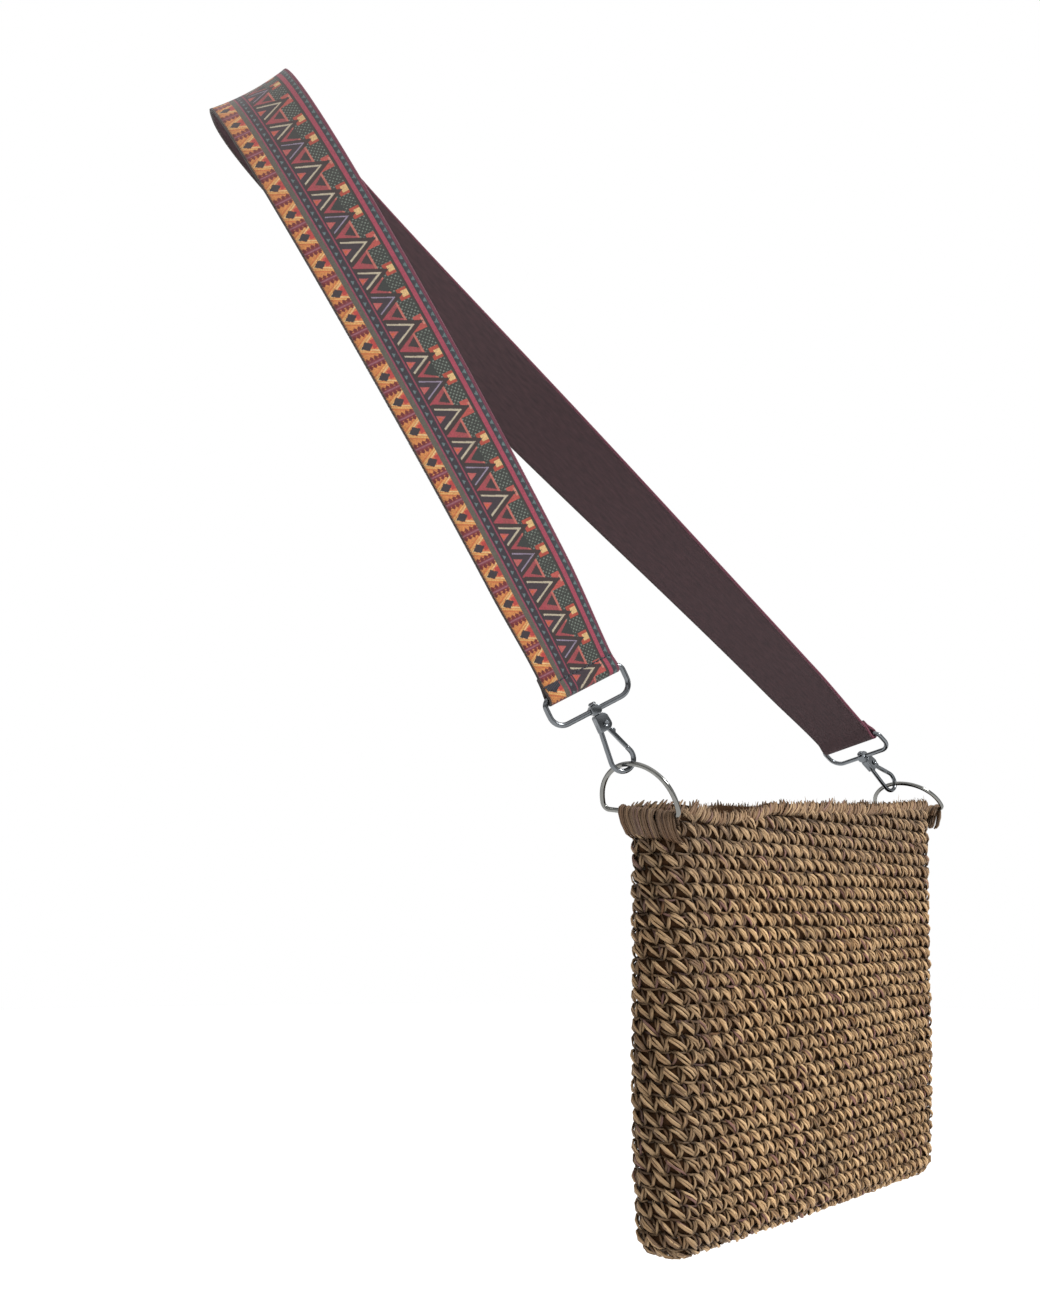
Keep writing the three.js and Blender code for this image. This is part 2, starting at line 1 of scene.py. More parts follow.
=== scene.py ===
# Crochet raffia tote bag hung from a patterned webbing strap.
# Sizes are in millimetres until a mesh is made, and colours are 8-bit sRGB.
import json
import math

import bmesh
import bpy
import numpy as np
from mathutils import Matrix, Vector


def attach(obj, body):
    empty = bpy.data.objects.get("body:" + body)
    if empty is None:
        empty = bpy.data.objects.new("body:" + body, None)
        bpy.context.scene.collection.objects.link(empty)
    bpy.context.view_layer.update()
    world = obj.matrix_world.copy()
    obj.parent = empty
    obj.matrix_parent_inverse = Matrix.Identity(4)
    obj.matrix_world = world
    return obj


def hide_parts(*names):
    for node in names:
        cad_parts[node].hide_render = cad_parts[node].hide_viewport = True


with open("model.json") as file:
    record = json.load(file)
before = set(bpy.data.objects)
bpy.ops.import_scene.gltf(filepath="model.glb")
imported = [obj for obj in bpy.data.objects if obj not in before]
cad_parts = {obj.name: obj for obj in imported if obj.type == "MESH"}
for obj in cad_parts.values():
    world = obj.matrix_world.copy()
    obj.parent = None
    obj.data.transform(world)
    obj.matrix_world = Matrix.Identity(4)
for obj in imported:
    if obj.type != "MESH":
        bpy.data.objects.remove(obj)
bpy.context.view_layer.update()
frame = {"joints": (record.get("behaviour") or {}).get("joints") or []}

random_numbers = np.random.default_rng(7)

# Bag
BAG_WIDTH = 364.0
BAG_HEIGHT = 260.0
BAG_DEPTH = 38.0
BAG_CORNER = 14.0
BASE_EDGE = 12.0
BAG_WALL = 5.0
STRAIGHT_POINTS = 40
CORNER_POINTS = 12
BAG_MIDDLE = np.array((318.55, -200.0, -693.64))
RIM_ROWS = {
    "along": (0.0, 0.12, 0.21, 0.31, 0.57, 1.0),
    "rise": (0.014, 0.0, 0.014, 0.04, 0.058, 0.098),
}
BAG_ROWS = {
    "level": (0.05, 0.2, 0.4, 0.6, 0.8, 0.93, 1.0),
    "width": (0.985, 0.995, 1.0, 1.0, 1.0, 1.0, 1.0),
    "ends": (1.0, 1.03, 1.04, 1.02, 1.0, 1.0, 1.0),
    "belly": (0.1, 0.26, 0.36, 0.32, 0.2, 0.1, 0.06),
}

# Crochet
ROW_PITCH = 8.8
STITCH_PITCH = 12.0
ROW_DRIFT = 0.36
CORE_DEPTH = 1.3
CORE_SWELL = 0.9
CORE_OUTER_RINGS = 140
CORE_INNER_RINGS = 100
CORE_COLUMNS = 264
INNER_BASE_SHARE = 0.9
SPLIT_SHARE = 0.46
EDGING_HEIGHT = 9.0
EDGING_PITCH = 2.3
EDGING_WIDTH = 1.6
STRAND_WIDTH = 1.75
STRAND_THICKNESS = 1.0
STRAND_WANDER = 0.62
STITCH_WANDER = 0.45
TONE_SPREAD = 0.16
FIBRE_COUNT = 600
FIBRES_AT_RIM = 0.4
FIBRE_WIDTH = 0.48
FIBRE_THICKNESS = 0.4

# Strap
STRAP_WIDTH = 51.0
STRAP_THICKNESS = 1.8
PINCHED_WIDTH = 47.0
PINCH_LENGTH = 60.0
LOOP_SLACK = 0.5
TAIL_LENGTH = 13.0
JOIN_LENGTH = 9.0
PLY_GAP = 0.35
WEBBING_EDGE = 0.35
TAIL_POINTS = 13
FOLD_POINTS = 17
JOIN_POINTS = 8
CROWN_HEADING = 39.0
CROWN_SLOPE = 29.0
CROWN_DISH = 2.0
NEAR_ARMS = (110.0, 95.0)
FAR_ARMS = (200.0, 70.0)
STATION_STEP = 2.0
SELVEDGE_PITCH = 0.9
SELVEDGE_HEM = 1.1
SELVEDGE_BULGE = 0.014
SELVEDGE_SLANT = 0.22
EDGE_THREAD_WIDTH = 0.84
EDGE_THREAD_THICKNESS = 0.32
SEAM_HEIGHT = 12.0
FAR_SEAM_REACH = 32.0
SEAM_STITCHES = 17
SEAM_END = 0.94
SEAM_HALF_STITCH = 0.056
SEAM_THREAD_WIDTH = 1.0
SEAM_THREAD_THICKNESS = 0.64

# Metal
OVAL_WIRE = 3.5
OVAL_INSIDE = 49.5
OVAL_GAP = 14.0
OVAL_TOP_CORNER = 4.5
OVAL_LOW_CORNER = 8.0
COLLAR_WIDTH = 6.4
COLLAR_HEIGHT = 5.6
COLLAR_DEPTH = 6.4
POST_RADIUS = 1.4
POST_HEAD_RADIUS = 2.3
POST_HEAD_HEIGHT = 1.6
HOOK_WIRE = 3.3
BIGHT_RADIUS = 7.2
BIGHT_DROP = 32.5
BIGHT_OFFSET = 2.4
LEG_SLANT = 7.6
GATE_SLANT = 20.0
NOSE_LENGTH = 2.6
GATE_REACH = 21.5
GATE_THICKNESS = 2.3
GATE_WIDTH = 2.4
GATE_EYE_RADIUS = 2.7
GATE_TAB = 1.2
RIVET_RADIUS = 1.1
RIVET_HEAD_RADIUS = 1.9
RIVET_HEAD_HEIGHT = 0.7
BLOCK_THICKNESS = 5.8
BLOCK_RADIUS = 3.6
BLOCK_EDGE = 1.0
BLOCK_SHOULDER = 2.0
BLOCK_SHOULDER_INSET = 0.5
BLOCK_HEEL_OUT = 0.2
SLOT_INSET = 0.3
POST_IN_BLOCK = 1.5
GATE_TAB_SHARES = (0.42, 0.36, 0.28, 0.24)
BEVELLED_TURN = 38
SHARP_TURN = 50
METAL_GAP = 0.35
WIRE_FIT = 0.93
D_RING_WIRE = 3.3
D_RING_INSIDE = 50.0
D_RING_HEIGHT = 31.0
D_RING_CORNER = 4.0
WRAP_LENGTH = 37.0
WRAP_SHIFT = 4.5
WRAP_BUNDLES = 10

# Camera: picture sizes are pixels of the 1040 by 1300 picture, and its place is in millimetres
IMAGE_HEIGHT = 1300
FOCAL_PIXELS = 1391.0
CAMERA_AT = (-543.0, -651.0, -492.3)
CAMERA_AZIMUTH = -51.0
CAMERA_PITCH = 2.65
CAMERA_SHIFT = 0.15

# Floor, in metres, and the key light
FLOOR_POINTS = 96
FLOOR_RADIUS = 14.0
FLOOR_HEIGHT = -1.5
SUN_ENERGY = 2.6
SUN_SPREAD = 14
SUN_DIRECTION = (-0.05, 0.8, -0.7)


# Frames


class Place:
    """A local frame: x runs along the wide side, z up the axis."""

    def __init__(self, at, wide, up):
        self.at = np.array(at, float)
        self.z = unit(np.array(up, float))
        wide = np.array(wide, float)
        self.x = unit(wide - self.z * wide.dot(self.z))
        self.y = np.cross(self.z, self.x)

    def world(self, points):
        points = np.asarray(points, float)
        axes = np.stack((self.x, self.y, self.z))
        return self.at + points @ axes


def unit(vector):
    length = np.linalg.norm(vector, axis=-1, keepdims=True)
    return vector / np.maximum(length, 1e-9)


joints = {joint["name"]: joint for joint in frame["joints"]}
clasp_axis = np.array(joints["hook_swivel"]["axis"])
lever_axis = np.array(joints["gate_lever"]["axis"])
near_clasp = Place(
    np.array(joints["hook_swivel"]["pos_m"]) * 1000,
    np.cross(lever_axis, clasp_axis),
    clasp_axis,
)

# The far clasp and the D-rings: where each is, its wide side and its axis, as the CAD has them
far_clasp = Place((453.0541, -184.3817, -374.7785), (-0.2264, -0.956, 0.1867), (-0.7376, 0.2935, 0.6081))
near_ring = Place((132.5, -195.0, -436.0), (0.0, -0.9903, -0.1392), (-0.4466, -0.1245, 0.886))
far_ring = Place((504.6, -200.0, -414.16), (0.0, -1.0, 0.0), (-0.7716, 0.0, 0.6361))


# Meshes


def make_piece(name, points, faces, materials, body="root", smooth=True, indices=None):
    """One mesh object from points in millimetres and faces of equal or mixed size."""
    mesh = bpy.data.meshes.new(name)
    metres = (np.asarray(points, float) * 0.001).tolist()
    mesh.from_pydata(metres, [], [tuple(int(i) for i in face) for face in faces])
    for material in materials:
        mesh.materials.append(material)
    if indices is not None:
        mesh.polygons.foreach_set("material_index", np.asarray(indices, np.int32))
    mesh.polygons.foreach_set("use_smooth", np.full(len(mesh.polygons), smooth))
    mesh.update()
    piece = bpy.data.objects.new(name, mesh)
    bpy.context.scene.collection.objects.link(piece)
    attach(piece, body)
    return piece


def add_number(piece, name, values):
    layer = piece.data.attributes.new(name, "FLOAT", "POINT")
    layer.data.foreach_set("value", np.asarray(values, np.float32))


def loft_faces(rows, columns, looped=False):
    """Quads between neighbouring rings, each ring closed on itself."""
    row = np.arange(rows if looped else rows - 1)[:, None]
    column = np.arange(columns)[None, :]
    following = (row + 1) % rows
    right = (column + 1) % columns
    quads = np.stack((
        row * columns + column,
        row * columns + right,
        following * columns + right,
        following * columns + column,
    ), axis=-1)
    return quads.reshape(-1, 4)


def tubes(centres, outward, half_width, half_thickness, taper, sides=4):
    """Flattened tubes along many paths at once.

    centres and outward are arrays of paths by steps by 3; taper is a list with one share a step.
    """
    along = unit(np.gradient(centres, axis=1))
    across = unit(np.cross(along, outward))
    lift = np.cross(across, along)
    angles = 2 * np.pi * (np.arange(sides) + 0.5) / sides
    taper = np.asarray(taper)[None, :, None, None]
    wide = across[:, :, None, :] * np.cos(angles)[None, None, :, None] * half_width * taper
    thick = lift[:, :, None, :] * np.sin(angles)[None, None, :, None] * half_thickness * taper
    points = centres[:, :, None, :] + wide + thick
    paths, steps = centres.shape[:2]
    size = steps * sides
    faces = (loft_faces(steps, sides)[None] + size * np.arange(paths)[:, None, None]).reshape(-1, 4)
    start = np.arange(sides)[::-1]
    end = np.arange(sides) + size - sides
    caps = np.concatenate((start[None] + size * np.arange(paths)[:, None],
                           end[None] + size * np.arange(paths)[:, None]))
    return points.reshape(-1, 3), [faces, caps]


def bezier(controls, steps):
    """Points along cubic curves; controls is paths by 4 by 3."""
    share = np.linspace(0, 1, steps)[None, :, None]
    a, b, c, d = (controls[:, i, None, :] for i in range(4))
    left = 1 - share
    return a * left ** 3 + 3 * b * left ** 2 * share + 3 * c * left * share ** 2 + d * share ** 3


# Shading


def linear(red, green, blue):
    """Colour for a node from 8-bit sRGB."""
    shares = [value / 255 for value in (red, green, blue)]
    return [s / 12.92 if s <= 0.04045 else ((s + 0.055) / 1.055) ** 2.4 for s in shares] + [1.0]


class Number:
    """A number that shader nodes work out at each point."""

    def __init__(self, socket):
        self.socket = socket

    def maths(self, operation, *others):
        tree = self.socket.node.id_data
        node = tree.nodes.new("ShaderNodeMath")
        node.operation = operation
        for place, value in zip(node.inputs, (self, *others)):
            if isinstance(value, Number):
                tree.links.new(value.socket, place)
            else:
                place.default_value = value
        return Number(node.outputs[0])

    def __add__(self, other):
        return self.maths("ADD", other)

    def __sub__(self, other):
        return self.maths("SUBTRACT", other)

    def __mul__(self, other):
        return self.maths("MULTIPLY", other)

    def __truediv__(self, other):
        return self.maths("DIVIDE", other)

    def __gt__(self, other):
        return self.maths("GREATER_THAN", other)

    def __lt__(self, other):
        return self.maths("LESS_THAN", other)

    def __and__(self, other):
        return self.maths("MULTIPLY", other)

    def __or__(self, other):
        return self.maths("MAXIMUM", other)

    def __mod__(self, other):
        return self.maths("FLOORED_MODULO", other)

    def __abs__(self):
        return self.maths("ABSOLUTE")

    def snapped(self, step):
        return self.maths("SNAP", step)

    def minus_from(self, value):
        return self * -1 + value

    def between(self, low, high):
        return (self > low) & (self < high)


class Paint:
    """Colours laid over each other, each where a number is 1."""

    def __init__(self, material, base):
        self.tree = material.node_tree
        self.colour = None
        self.base = base

    def over(self, where, colour):
        node = self.tree.nodes.new("ShaderNodeMix")
        node.data_type = "RGBA"
        if isinstance(where, Number):
            self.tree.links.new(where.socket, node.inputs["Factor"])
        else:
            node.inputs["Factor"].default_value = where
        under, top = node.inputs[6], node.inputs[7]
        if self.colour is None:
            under.default_value = linear(*self.base)
        else:
            self.tree.links.new(self.colour, under)
        top.default_value = linear(*colour)
        self.colour = node.outputs[2]

    def scaled(self, factor):
        """Lightens or darkens the colour by a number."""
        node = self.tree.nodes.new("ShaderNodeVectorMath")
        node.operation = "SCALE"
        self.tree.links.new(self.colour, node.inputs[0])
        self.tree.links.new(factor.socket, node.inputs["Scale"])
        self.colour = node.outputs[0]

    def onto(self, shader):
        self.tree.links.new(self.colour, shader.inputs["Base Color"])


def new_material(name, roughness, metallic=0.0):
    material = bpy.data.materials.new(name)
    material.use_nodes = True
    shader = material.node_tree.nodes["Principled BSDF"]
    shader.inputs["Roughness"].default_value = roughness
    shader.inputs["Metallic"].default_value = metallic
    return material, shader


def attribute(material, name):
    node = material.node_tree.nodes.new("ShaderNodeAttribute")
    node.attribute_name = name
    return Number(node.outputs["Fac"])


def position(material):
    """x, y and z of the point, in metres."""
    tree = material.node_tree
    coordinates = tree.nodes.new("ShaderNodeTexCoord")
    split = tree.nodes.new("ShaderNodeSeparateXYZ")
    tree.links.new(coordinates.outputs["Object"], split.inputs[0])
    return [Number(socket) for socket in split.outputs], coordinates.outputs["Object"]


def noise(material, vector, scale, detail=2.0, stretch=(1, 1, 1)):
    tree = material.node_tree
    mapping = tree.nodes.new("ShaderNodeMapping")
    mapping.inputs["Scale"].default_value = stretch
    tree.links.new(vector, mapping.inputs["Vector"])
    node = tree.nodes.new("ShaderNodeTexNoise")
    node.inputs["Scale"].default_value = scale
    node.inputs["Detail"].default_value = detail
    tree.links.new(mapping.outputs["Vector"], node.inputs["Vector"])
    return Number(node.outputs["Fac"])


def flat_vector(material, x, y):
    tree = material.node_tree
    node = tree.nodes.new("ShaderNodeCombineXYZ")
    tree.links.new(x.socket, node.inputs[0])
    tree.links.new(y.socket, node.inputs[1])
    return node.outputs[0]


def connect_bump(material, shader, height, strength, distance):
    tree = material.node_tree
    bump = tree.nodes.new("ShaderNodeBump")
    bump.inputs["Strength"].default_value = strength
    bump.inputs["Distance"].default_value = distance
    tree.links.new(height.socket, bump.inputs["Height"])
    tree.links.new(bump.outputs["Normal"], shader.inputs["Normal"])


def raffia_material():
    """Strands of raffia, each with its own tone and fine streaks along it. Painted light and shade are laid
    over them: a highlight on the top strands, shade on the deeper ones and on the near end.
    """
    material, shader = new_material("raffia", 0.55)
    shader.inputs["Specular IOR Level"].default_value = 0.25
    tone = attribute(material, "tone")
    streak = attribute(material, "streak")
    shade_by_depth = attribute(material, "shade_by_depth")
    (x, _, z), where = position(material)
    paint = Paint(material, (122, 82, 44))
    paint.over(tone, (216, 180, 134))
    paint.over((tone * 7.0) % 1.0 > 0.86, (128, 98, 70))
    paint.over((tone * 13.0) % 1.0 > 0.94, (134, 94, 84))
    blotches = noise(material, where, 28.0)
    paint.over((blotches - 0.52) * 1.6, (104, 86, 64))
    near_shade = ((x - 0.15) * -14.0 + 1.0).maths("MAXIMUM", 0.0).maths("MINIMUM", 1.0)
    top_shade = ((z + 0.495) * 14.0).maths("MAXIMUM", 0.0).maths("MINIMUM", 1.0)
    # Greyer towards the top of the bag.
    paint.over(top_shade * 0.42, (132, 114, 98))
    # Painted shade: the near end of the bag and the raffia wrapped there, which face away from the key
    # light, are darkened and greyed.
    paint.over(near_shade * 0.35, (84, 70, 60))
    fine = noise(material, flat_vector(material, streak * 9.0, tone * 60.0), 1.0, 3.0)
    paint.scaled(fine * 0.88 + 0.51)
    # Painted shade: strands lying deeper in the crochet are darkened.
    paint.scaled(shade_by_depth * 0.85 + 0.15)
    paint.onto(shader)
    connect_bump(material, shader, fine, 0.35, 0.0003)
    return material


def core_shade_material():
    """Painted shade: the inside of the crochet, seen between the strands, coloured dark brown for the shade
    in the holes.
    """
    material, shader = new_material("raffia_core_shade", 0.8)
    _, where = position(material)
    fibres = noise(material, where, 420.0, 3.0, (1, 1, 0.5))
    shader.inputs["Specular IOR Level"].default_value = 0.1
    paint = Paint(material, (36, 20, 8))
    paint.over(fibres, (70, 46, 25))
    paint.onto(shader)
    connect_bump(material, shader, fibres, 0.8, 0.001)
    return material


def metal_material(name, dark, light, roughness):
    """Plated metal with faint wear and scratches."""
    material, shader = new_material(name, roughness, 1.0)
    _, where = position(material)
    wear = noise(material, where, 160.0, 4.0)
    scratches = noise(material, where, 900.0, 2.0, (1, 1, 0.15))
    paint = Paint(material, dark)
    paint.over(wear, light)
    paint.onto(shader)
    connect_bump(material, shader, scratches, 0.12, 0.0001)
    return material


# Chart of the strap's pattern. Sizes across it are millimetres from its right edge, and sizes
# along it are millimetres up from the near fold.
CYCLE = 54.4
PURPLE_AT = 18.6
WHITE_AT = 34.8
FIRST_AT = 9.0
THREAD = 0.42
DOT_PITCH = THREAD * 6
DOT_ROW = THREAD * 3
CHEVRON_FOOT = 29.2


def strap_pattern(material):
    """Colour of the woven face: bands, chevrons, dotted fields and a border of diamonds."""
    along = (attribute(material, "along") - FIRST_AT).snapped(THREAD)
    across = attribute(material, "across").snapped(THREAD)
    cell = along % CYCLE

    # Distance from the nearest chevron and from the nearest gap between two
    after_tall = cell > PURPLE_AT / 2
    after_purple = cell > (PURPLE_AT + WHITE_AT) / 2
    after_white = cell > (WHITE_AT + CYCLE) / 2
    chevron = after_tall * PURPLE_AT + after_purple * (WHITE_AT - PURPLE_AT)
    chevron = chevron + after_white * (CYCLE - WHITE_AT)
    down = (cell - chevron) * -1
    side = abs(down)
    tall = (after_tall * -1 + 1) | after_white
    purple = after_tall & (after_purple * -1 + 1)
    past_purple = cell > PURPLE_AT
    past_white = cell > WHITE_AT
    gap_at = past_purple * ((WHITE_AT - PURPLE_AT) / 2 + PURPLE_AT / 2) + PURPLE_AT / 2
    gap_at = gap_at + past_white * ((CYCLE - PURPLE_AT) / 2)
    gap_side = abs(cell - gap_at)
    plain_gap = past_purple & (past_white * -1 + 1)

    def wedge(apex, slope):
        """1 inside a chevron that opens away from the right edge."""
        return (across - apex) * slope > side

    paint = Paint(material, (64, 46, 42))

    # Dotted field and the coral ground between the chevrons
    shifted = ((along / DOT_ROW).maths("FLOOR") % 2.0) * (DOT_PITCH / 2) + across
    dot = ((shifted % DOT_PITCH) < THREAD * 1.9) & ((along % DOT_ROW) < THREAD * 1.9)
    paint.over(across.between(7.7, 29.6), (56, 58, 52))
    paint.over(across.between(8.6, 16.9) & dot, (126, 136, 124))
    paint.over(across.between(17.0, 29.0), (168, 72, 76))
    paint.over(across.between(17.0, 18.2), (206, 112, 98))
    paint.over(across.between(24.0, 29.0), (176, 68, 78))
    hollow = (across.minus_from(23.8) * 0.66) > gap_side
    paint.over(across.between(18.2, 23.8) & hollow, (58, 44, 44))
    paint.over(plain_gap & across.between(16.5, 23.4) & ((across.minus_from(23.4) * 0.7) > gap_side),
               (50, 52, 48))

    # Squares above the chevrons
    small = tall * -1 + 1
    paint.over(tall & across.between(8.4, 13.6) & side.between(1.0, 4.0), (200, 88, 78))
    paint.over(tall & across.between(8.4, 17.0) & down.between(1.8, 4.6), (196, 84, 74))
    paint.over(tall & across.between(8.4, 9.8) & (side < 2.2), (216, 140, 120))
    paint.over(small & across.between(8.4, 14.6) & (side < 3.6), (188, 76, 56))
    paint.over(small & across.between(8.8, 12.4) & (side < 1.9), (238, 196, 132))

    # Chevrons: outline, line, inner field and the small triangle between the feet
    outline = wedge(tall * -2.5 + 11.5, 0.5)
    paint.over(outline & (across < CHEVRON_FOOT + 0.6), (58, 40, 38))
    line_apex = tall * -2.0 + 16.2
    line = wedge(line_apex, 0.49) & (across < 28.4)
    paint.over(line & (purple * -1 + 1), (204, 190, 164))
    paint.over(line & purple, (160, 144, 166))
    inner_apex = line_apex - purple * 0.8 + 2.4
    paint.over(wedge(inner_apex, 0.49) & (across < CHEVRON_FOOT), (58, 44, 52))
    paint.over(across.between(24.4, 29.2) & (((across - 24.4) * 0.5) > side), (198, 96, 92))
    paint.over((purple * -1 + 1) & across.between(26.4, 28.8) & (((across - 26.4) * 0.45) > side),
               (212, 92, 50))

    # Bands along the strap
    stripes = (
        (0.0, 1.5, (120, 48, 72)),
        (1.5, 4.4, (50, 50, 58)),
        (4.4, 7.1, (176, 66, 88)),
        (7.1, 7.9, (62, 42, 40)),
        (29.2, 30.0, (56, 40, 48)),
        (30.0, 31.0, (150, 58, 80)),
        (31.0, 35.0, (52, 42, 52)),
        (35.0, 36.0, (158, 62, 88)),
        (36.0, 38.7, (98, 92, 80)),
    )
    for low, high, colour in stripes:
        paint.over(across.between(low, high), colour)
    pip = abs((along + 60.0) % 4.6 - 2.3)
    paint.over(across.between(2.0, 3.9) & ((across.minus_from(3.9) * 0.75) > pip), (98, 120, 120))
    pip = abs((along + 61.5) % 4.75 - 2.4)
    paint.over(across.between(32.0, 34.0) & (((across - 32.0) * 0.75) > pip), (106, 124, 126))

    # Border of diamonds
    ground = across.between(38.7, 49.2)
    paint.over(ground, (226, 144, 76))
    slant = side + (across - 39.5) * 0.52
    paint.over(ground & slant.between(5.6, 6.2), (238, 186, 112))
    paint.over(ground & slant.between(6.8, 7.4), (212, 112, 62))
    paint.over(ground & slant.between(2.0, 3.9), (222, 118, 74))
    paint.over(ground & slant.between(4.0, 4.9), (242, 200, 138))
    paint.over(across.between(38.7, 41.2) & (side < 2.6), (196, 66, 60))
    paint.over((side / 2.9 + abs(across - 44.0) / 3.7) < 1.0, (58, 44, 50))
    paint.over(ground & (gap_side < 1.4), (138, 52, 62))
    paint.over(ground & (gap_side < 0.45), (160, 96, 108))
    rows = abs((across - 38.9) % 2.6 - 1.3)
    paint.over(ground & ((abs(gap_side - 2.1) / 1.5 + rows / 1.35) < 1.0), (122, 34, 34))
    return paint, along, across


def strap_material():
    """Patterned webbing: thread-wide steps of colour, a fine twill, threads of uneven tone and painted shade
    towards the crown.
    """
    material, shader = new_material("webbing_face", 0.75)
    paint, along, across = strap_pattern(material)
    smooth_along = attribute(material, "along")
    smooth_across = attribute(material, "across")
    tree = material.node_tree
    speckle = tree.nodes.new("ShaderNodeTexWhiteNoise")
    speckle.noise_dimensions = "2D"
    tree.links.new(flat_vector(material, along, across), speckle.inputs["Vector"])
    paint.scaled(Number(speckle.outputs["Value"]) * 0.3 + 0.52)
    twill = ((smooth_along + smooth_across * 1.6) / (THREAD * 2) * (2 * math.pi)).maths("SINE")
    rib = (smooth_across / THREAD * (2 * math.pi)).maths("SINE")
    paint.scaled(twill * 0.09 + 0.95)
    # Painted shade: the webbing is dulled and darkened towards the crown, where it turns away over the
    # shoulder.
    crown_shade = ((smooth_along - 300.0) / 220.0).maths("MAXIMUM", 0.0).maths("MINIMUM", 1.0)
    paint.over(crown_shade * 0.3, (92, 74, 66))
    paint.onto(shader)
    shader.inputs["Sheen Weight"].default_value = 0.15
    connect_bump(material, shader, twill * 0.6 + rib * 0.4, 0.5, 0.00025)
    return material


def reverse_material():
    """Plain dark reverse of the webbing."""
    material, shader = new_material("webbing_reverse", 0.85)
    along = attribute(material, "along")
    across = attribute(material, "across")
    twill = ((along - across * 1.6) / (THREAD * 2) * (2 * math.pi)).maths("SINE")
    tint = noise(material, flat_vector(material, along * 0.2, across), 0.6, 3.0)
    paint = Paint(material, (44, 34, 38))
    paint.over(tint, (86, 58, 62))
    paint.scaled(twill * 0.12 + 0.9)
    paint.onto(shader)
    connect_bump(material, shader, twill, 0.5, 0.00025)
    return material


def thread_material(name, colour, other):
    """Sewing or edge thread with a soft change of tone."""
    material, shader = new_material(name, 0.7)
    _, where = position(material)
    paint = Paint(material, colour)
    paint.over(noise(material, where, 700.0), other)
    paint.onto(shader)
    shader.inputs["Sheen Weight"].default_value = 0.2
    return material


# Bag


def smooth_table(rows, key, column, where):
    """Value of one column at each place, eased between the rows."""
    keys = np.array(rows[key])
    values = np.array(rows[column])
    where = np.clip(np.asarray(where, float), keys[0], keys[-1])
    upper = np.clip(np.searchsorted(keys, where), 1, len(keys) - 1)
    share = (where - keys[upper - 1]) / (keys[upper] - keys[upper - 1])
    share = share * share * (3 - 2 * share)
    return values[upper - 1] + (values[upper] - values[upper - 1]) * share


def rim_rise(x):
    """Rise of the rim at a distance from the bag's middle."""
    return BAG_HEIGHT * smooth_table(RIM_ROWS, "along", "rise", x / BAG_WIDTH + 0.5)


def bag_outline(level, inset, count):
    """Points at equal steps round the bag at one level, from the middle of its back."""
    half_width = BAG_WIDTH * smooth_table(BAG_ROWS, "level", "width", level) / 2 - inset
    half_depth = BAG_DEPTH * smooth_table(BAG_ROWS, "level", "ends", level) / 2 - inset
    belly = BAG_DEPTH * smooth_table(BAG_ROWS, "level", "belly", level) / 2
    corner = min(max(BAG_CORNER - inset, BAG_CORNER / 5), half_depth)
    straight = np.linspace(0, half_width - corner, STRAIGHT_POINTS)
    angles = np.linspace(np.pi / 2, 0, CORNER_POINTS + 1)[1:]
    x = np.concatenate((straight, half_width - corner + corner * np.cos(angles)))
    y = np.concatenate((np.full(STRAIGHT_POINTS, half_depth), half_depth - corner + corner * np.sin(angles)))
    swell = belly * np.cos(np.pi * x / (2 * half_width)) ** 2
    y = y + swell * np.minimum(y / half_depth, 1)
    x = np.concatenate((x, x[::-1], -x, -x[::-1]))
    y = np.concatenate((y, -y[::-1], -y, y[::-1]))
    gone = np.concatenate(([0], np.cumsum(np.hypot(np.diff(x), np.diff(y)))))
    at = np.linspace(0, gone[-1], count, endpoint=False)
    return np.interp(at, gone, x), np.interp(at, gone, y)


# Distances up the outside, measured from the middle of the base
BASE_REACH = 17.5
FLAT_REACH = BASE_REACH - BASE_EDGE
ARC_REACH = BASE_EDGE * math.pi / 2
LEVEL_RIM_REACH = FLAT_REACH + ARC_REACH + BAG_HEIGHT - BASE_EDGE
GRID_ABOVE_RIM = 40.0
GRID_STEP = 2.0
ROUND_COUNT = 720
MEASURED_ROW = 70


def profile(reach):
    """Inset and height at a distance up the outside from the middle of the base."""
    if reach < FLAT_REACH:
        return BASE_REACH - reach, 0.0
    if reach < FLAT_REACH + ARC_REACH:
        angle = (reach - FLAT_REACH) / BASE_EDGE
        return BASE_EDGE * (1 - math.sin(angle)), BASE_EDGE * (1 - math.cos(angle))
    return 0.0, BASE_EDGE + reach - FLAT_REACH - ARC_REACH


def bag_grid():
    """Outer surface of the bag as rows of points, and the outward direction at each."""
    rows = []
    for reach in np.arange(0, LEVEL_RIM_REACH + GRID_ABOVE_RIM, GRID_STEP):
        inset, height = profile(reach)
        x, y = bag_outline(min(height / BAG_HEIGHT, 1.0), inset, ROUND_COUNT)
        rows.append(np.stack((x, y, np.full(ROUND_COUNT, height)), axis=-1))
    grid = np.array(rows)
    up = np.gradient(grid, axis=0)
    closed = np.concatenate((grid[:, -1:], grid, grid[:, :1]), axis=1)
    along = (closed[:, 2:] - closed[:, :-2]) / 2
    return grid, unit(np.cross(up, along))


grid_points, grid_outward = bag_grid()
grid_length = np.linalg.norm(np.diff(grid_points[MEASURED_ROW], axis=0), axis=-1).sum()


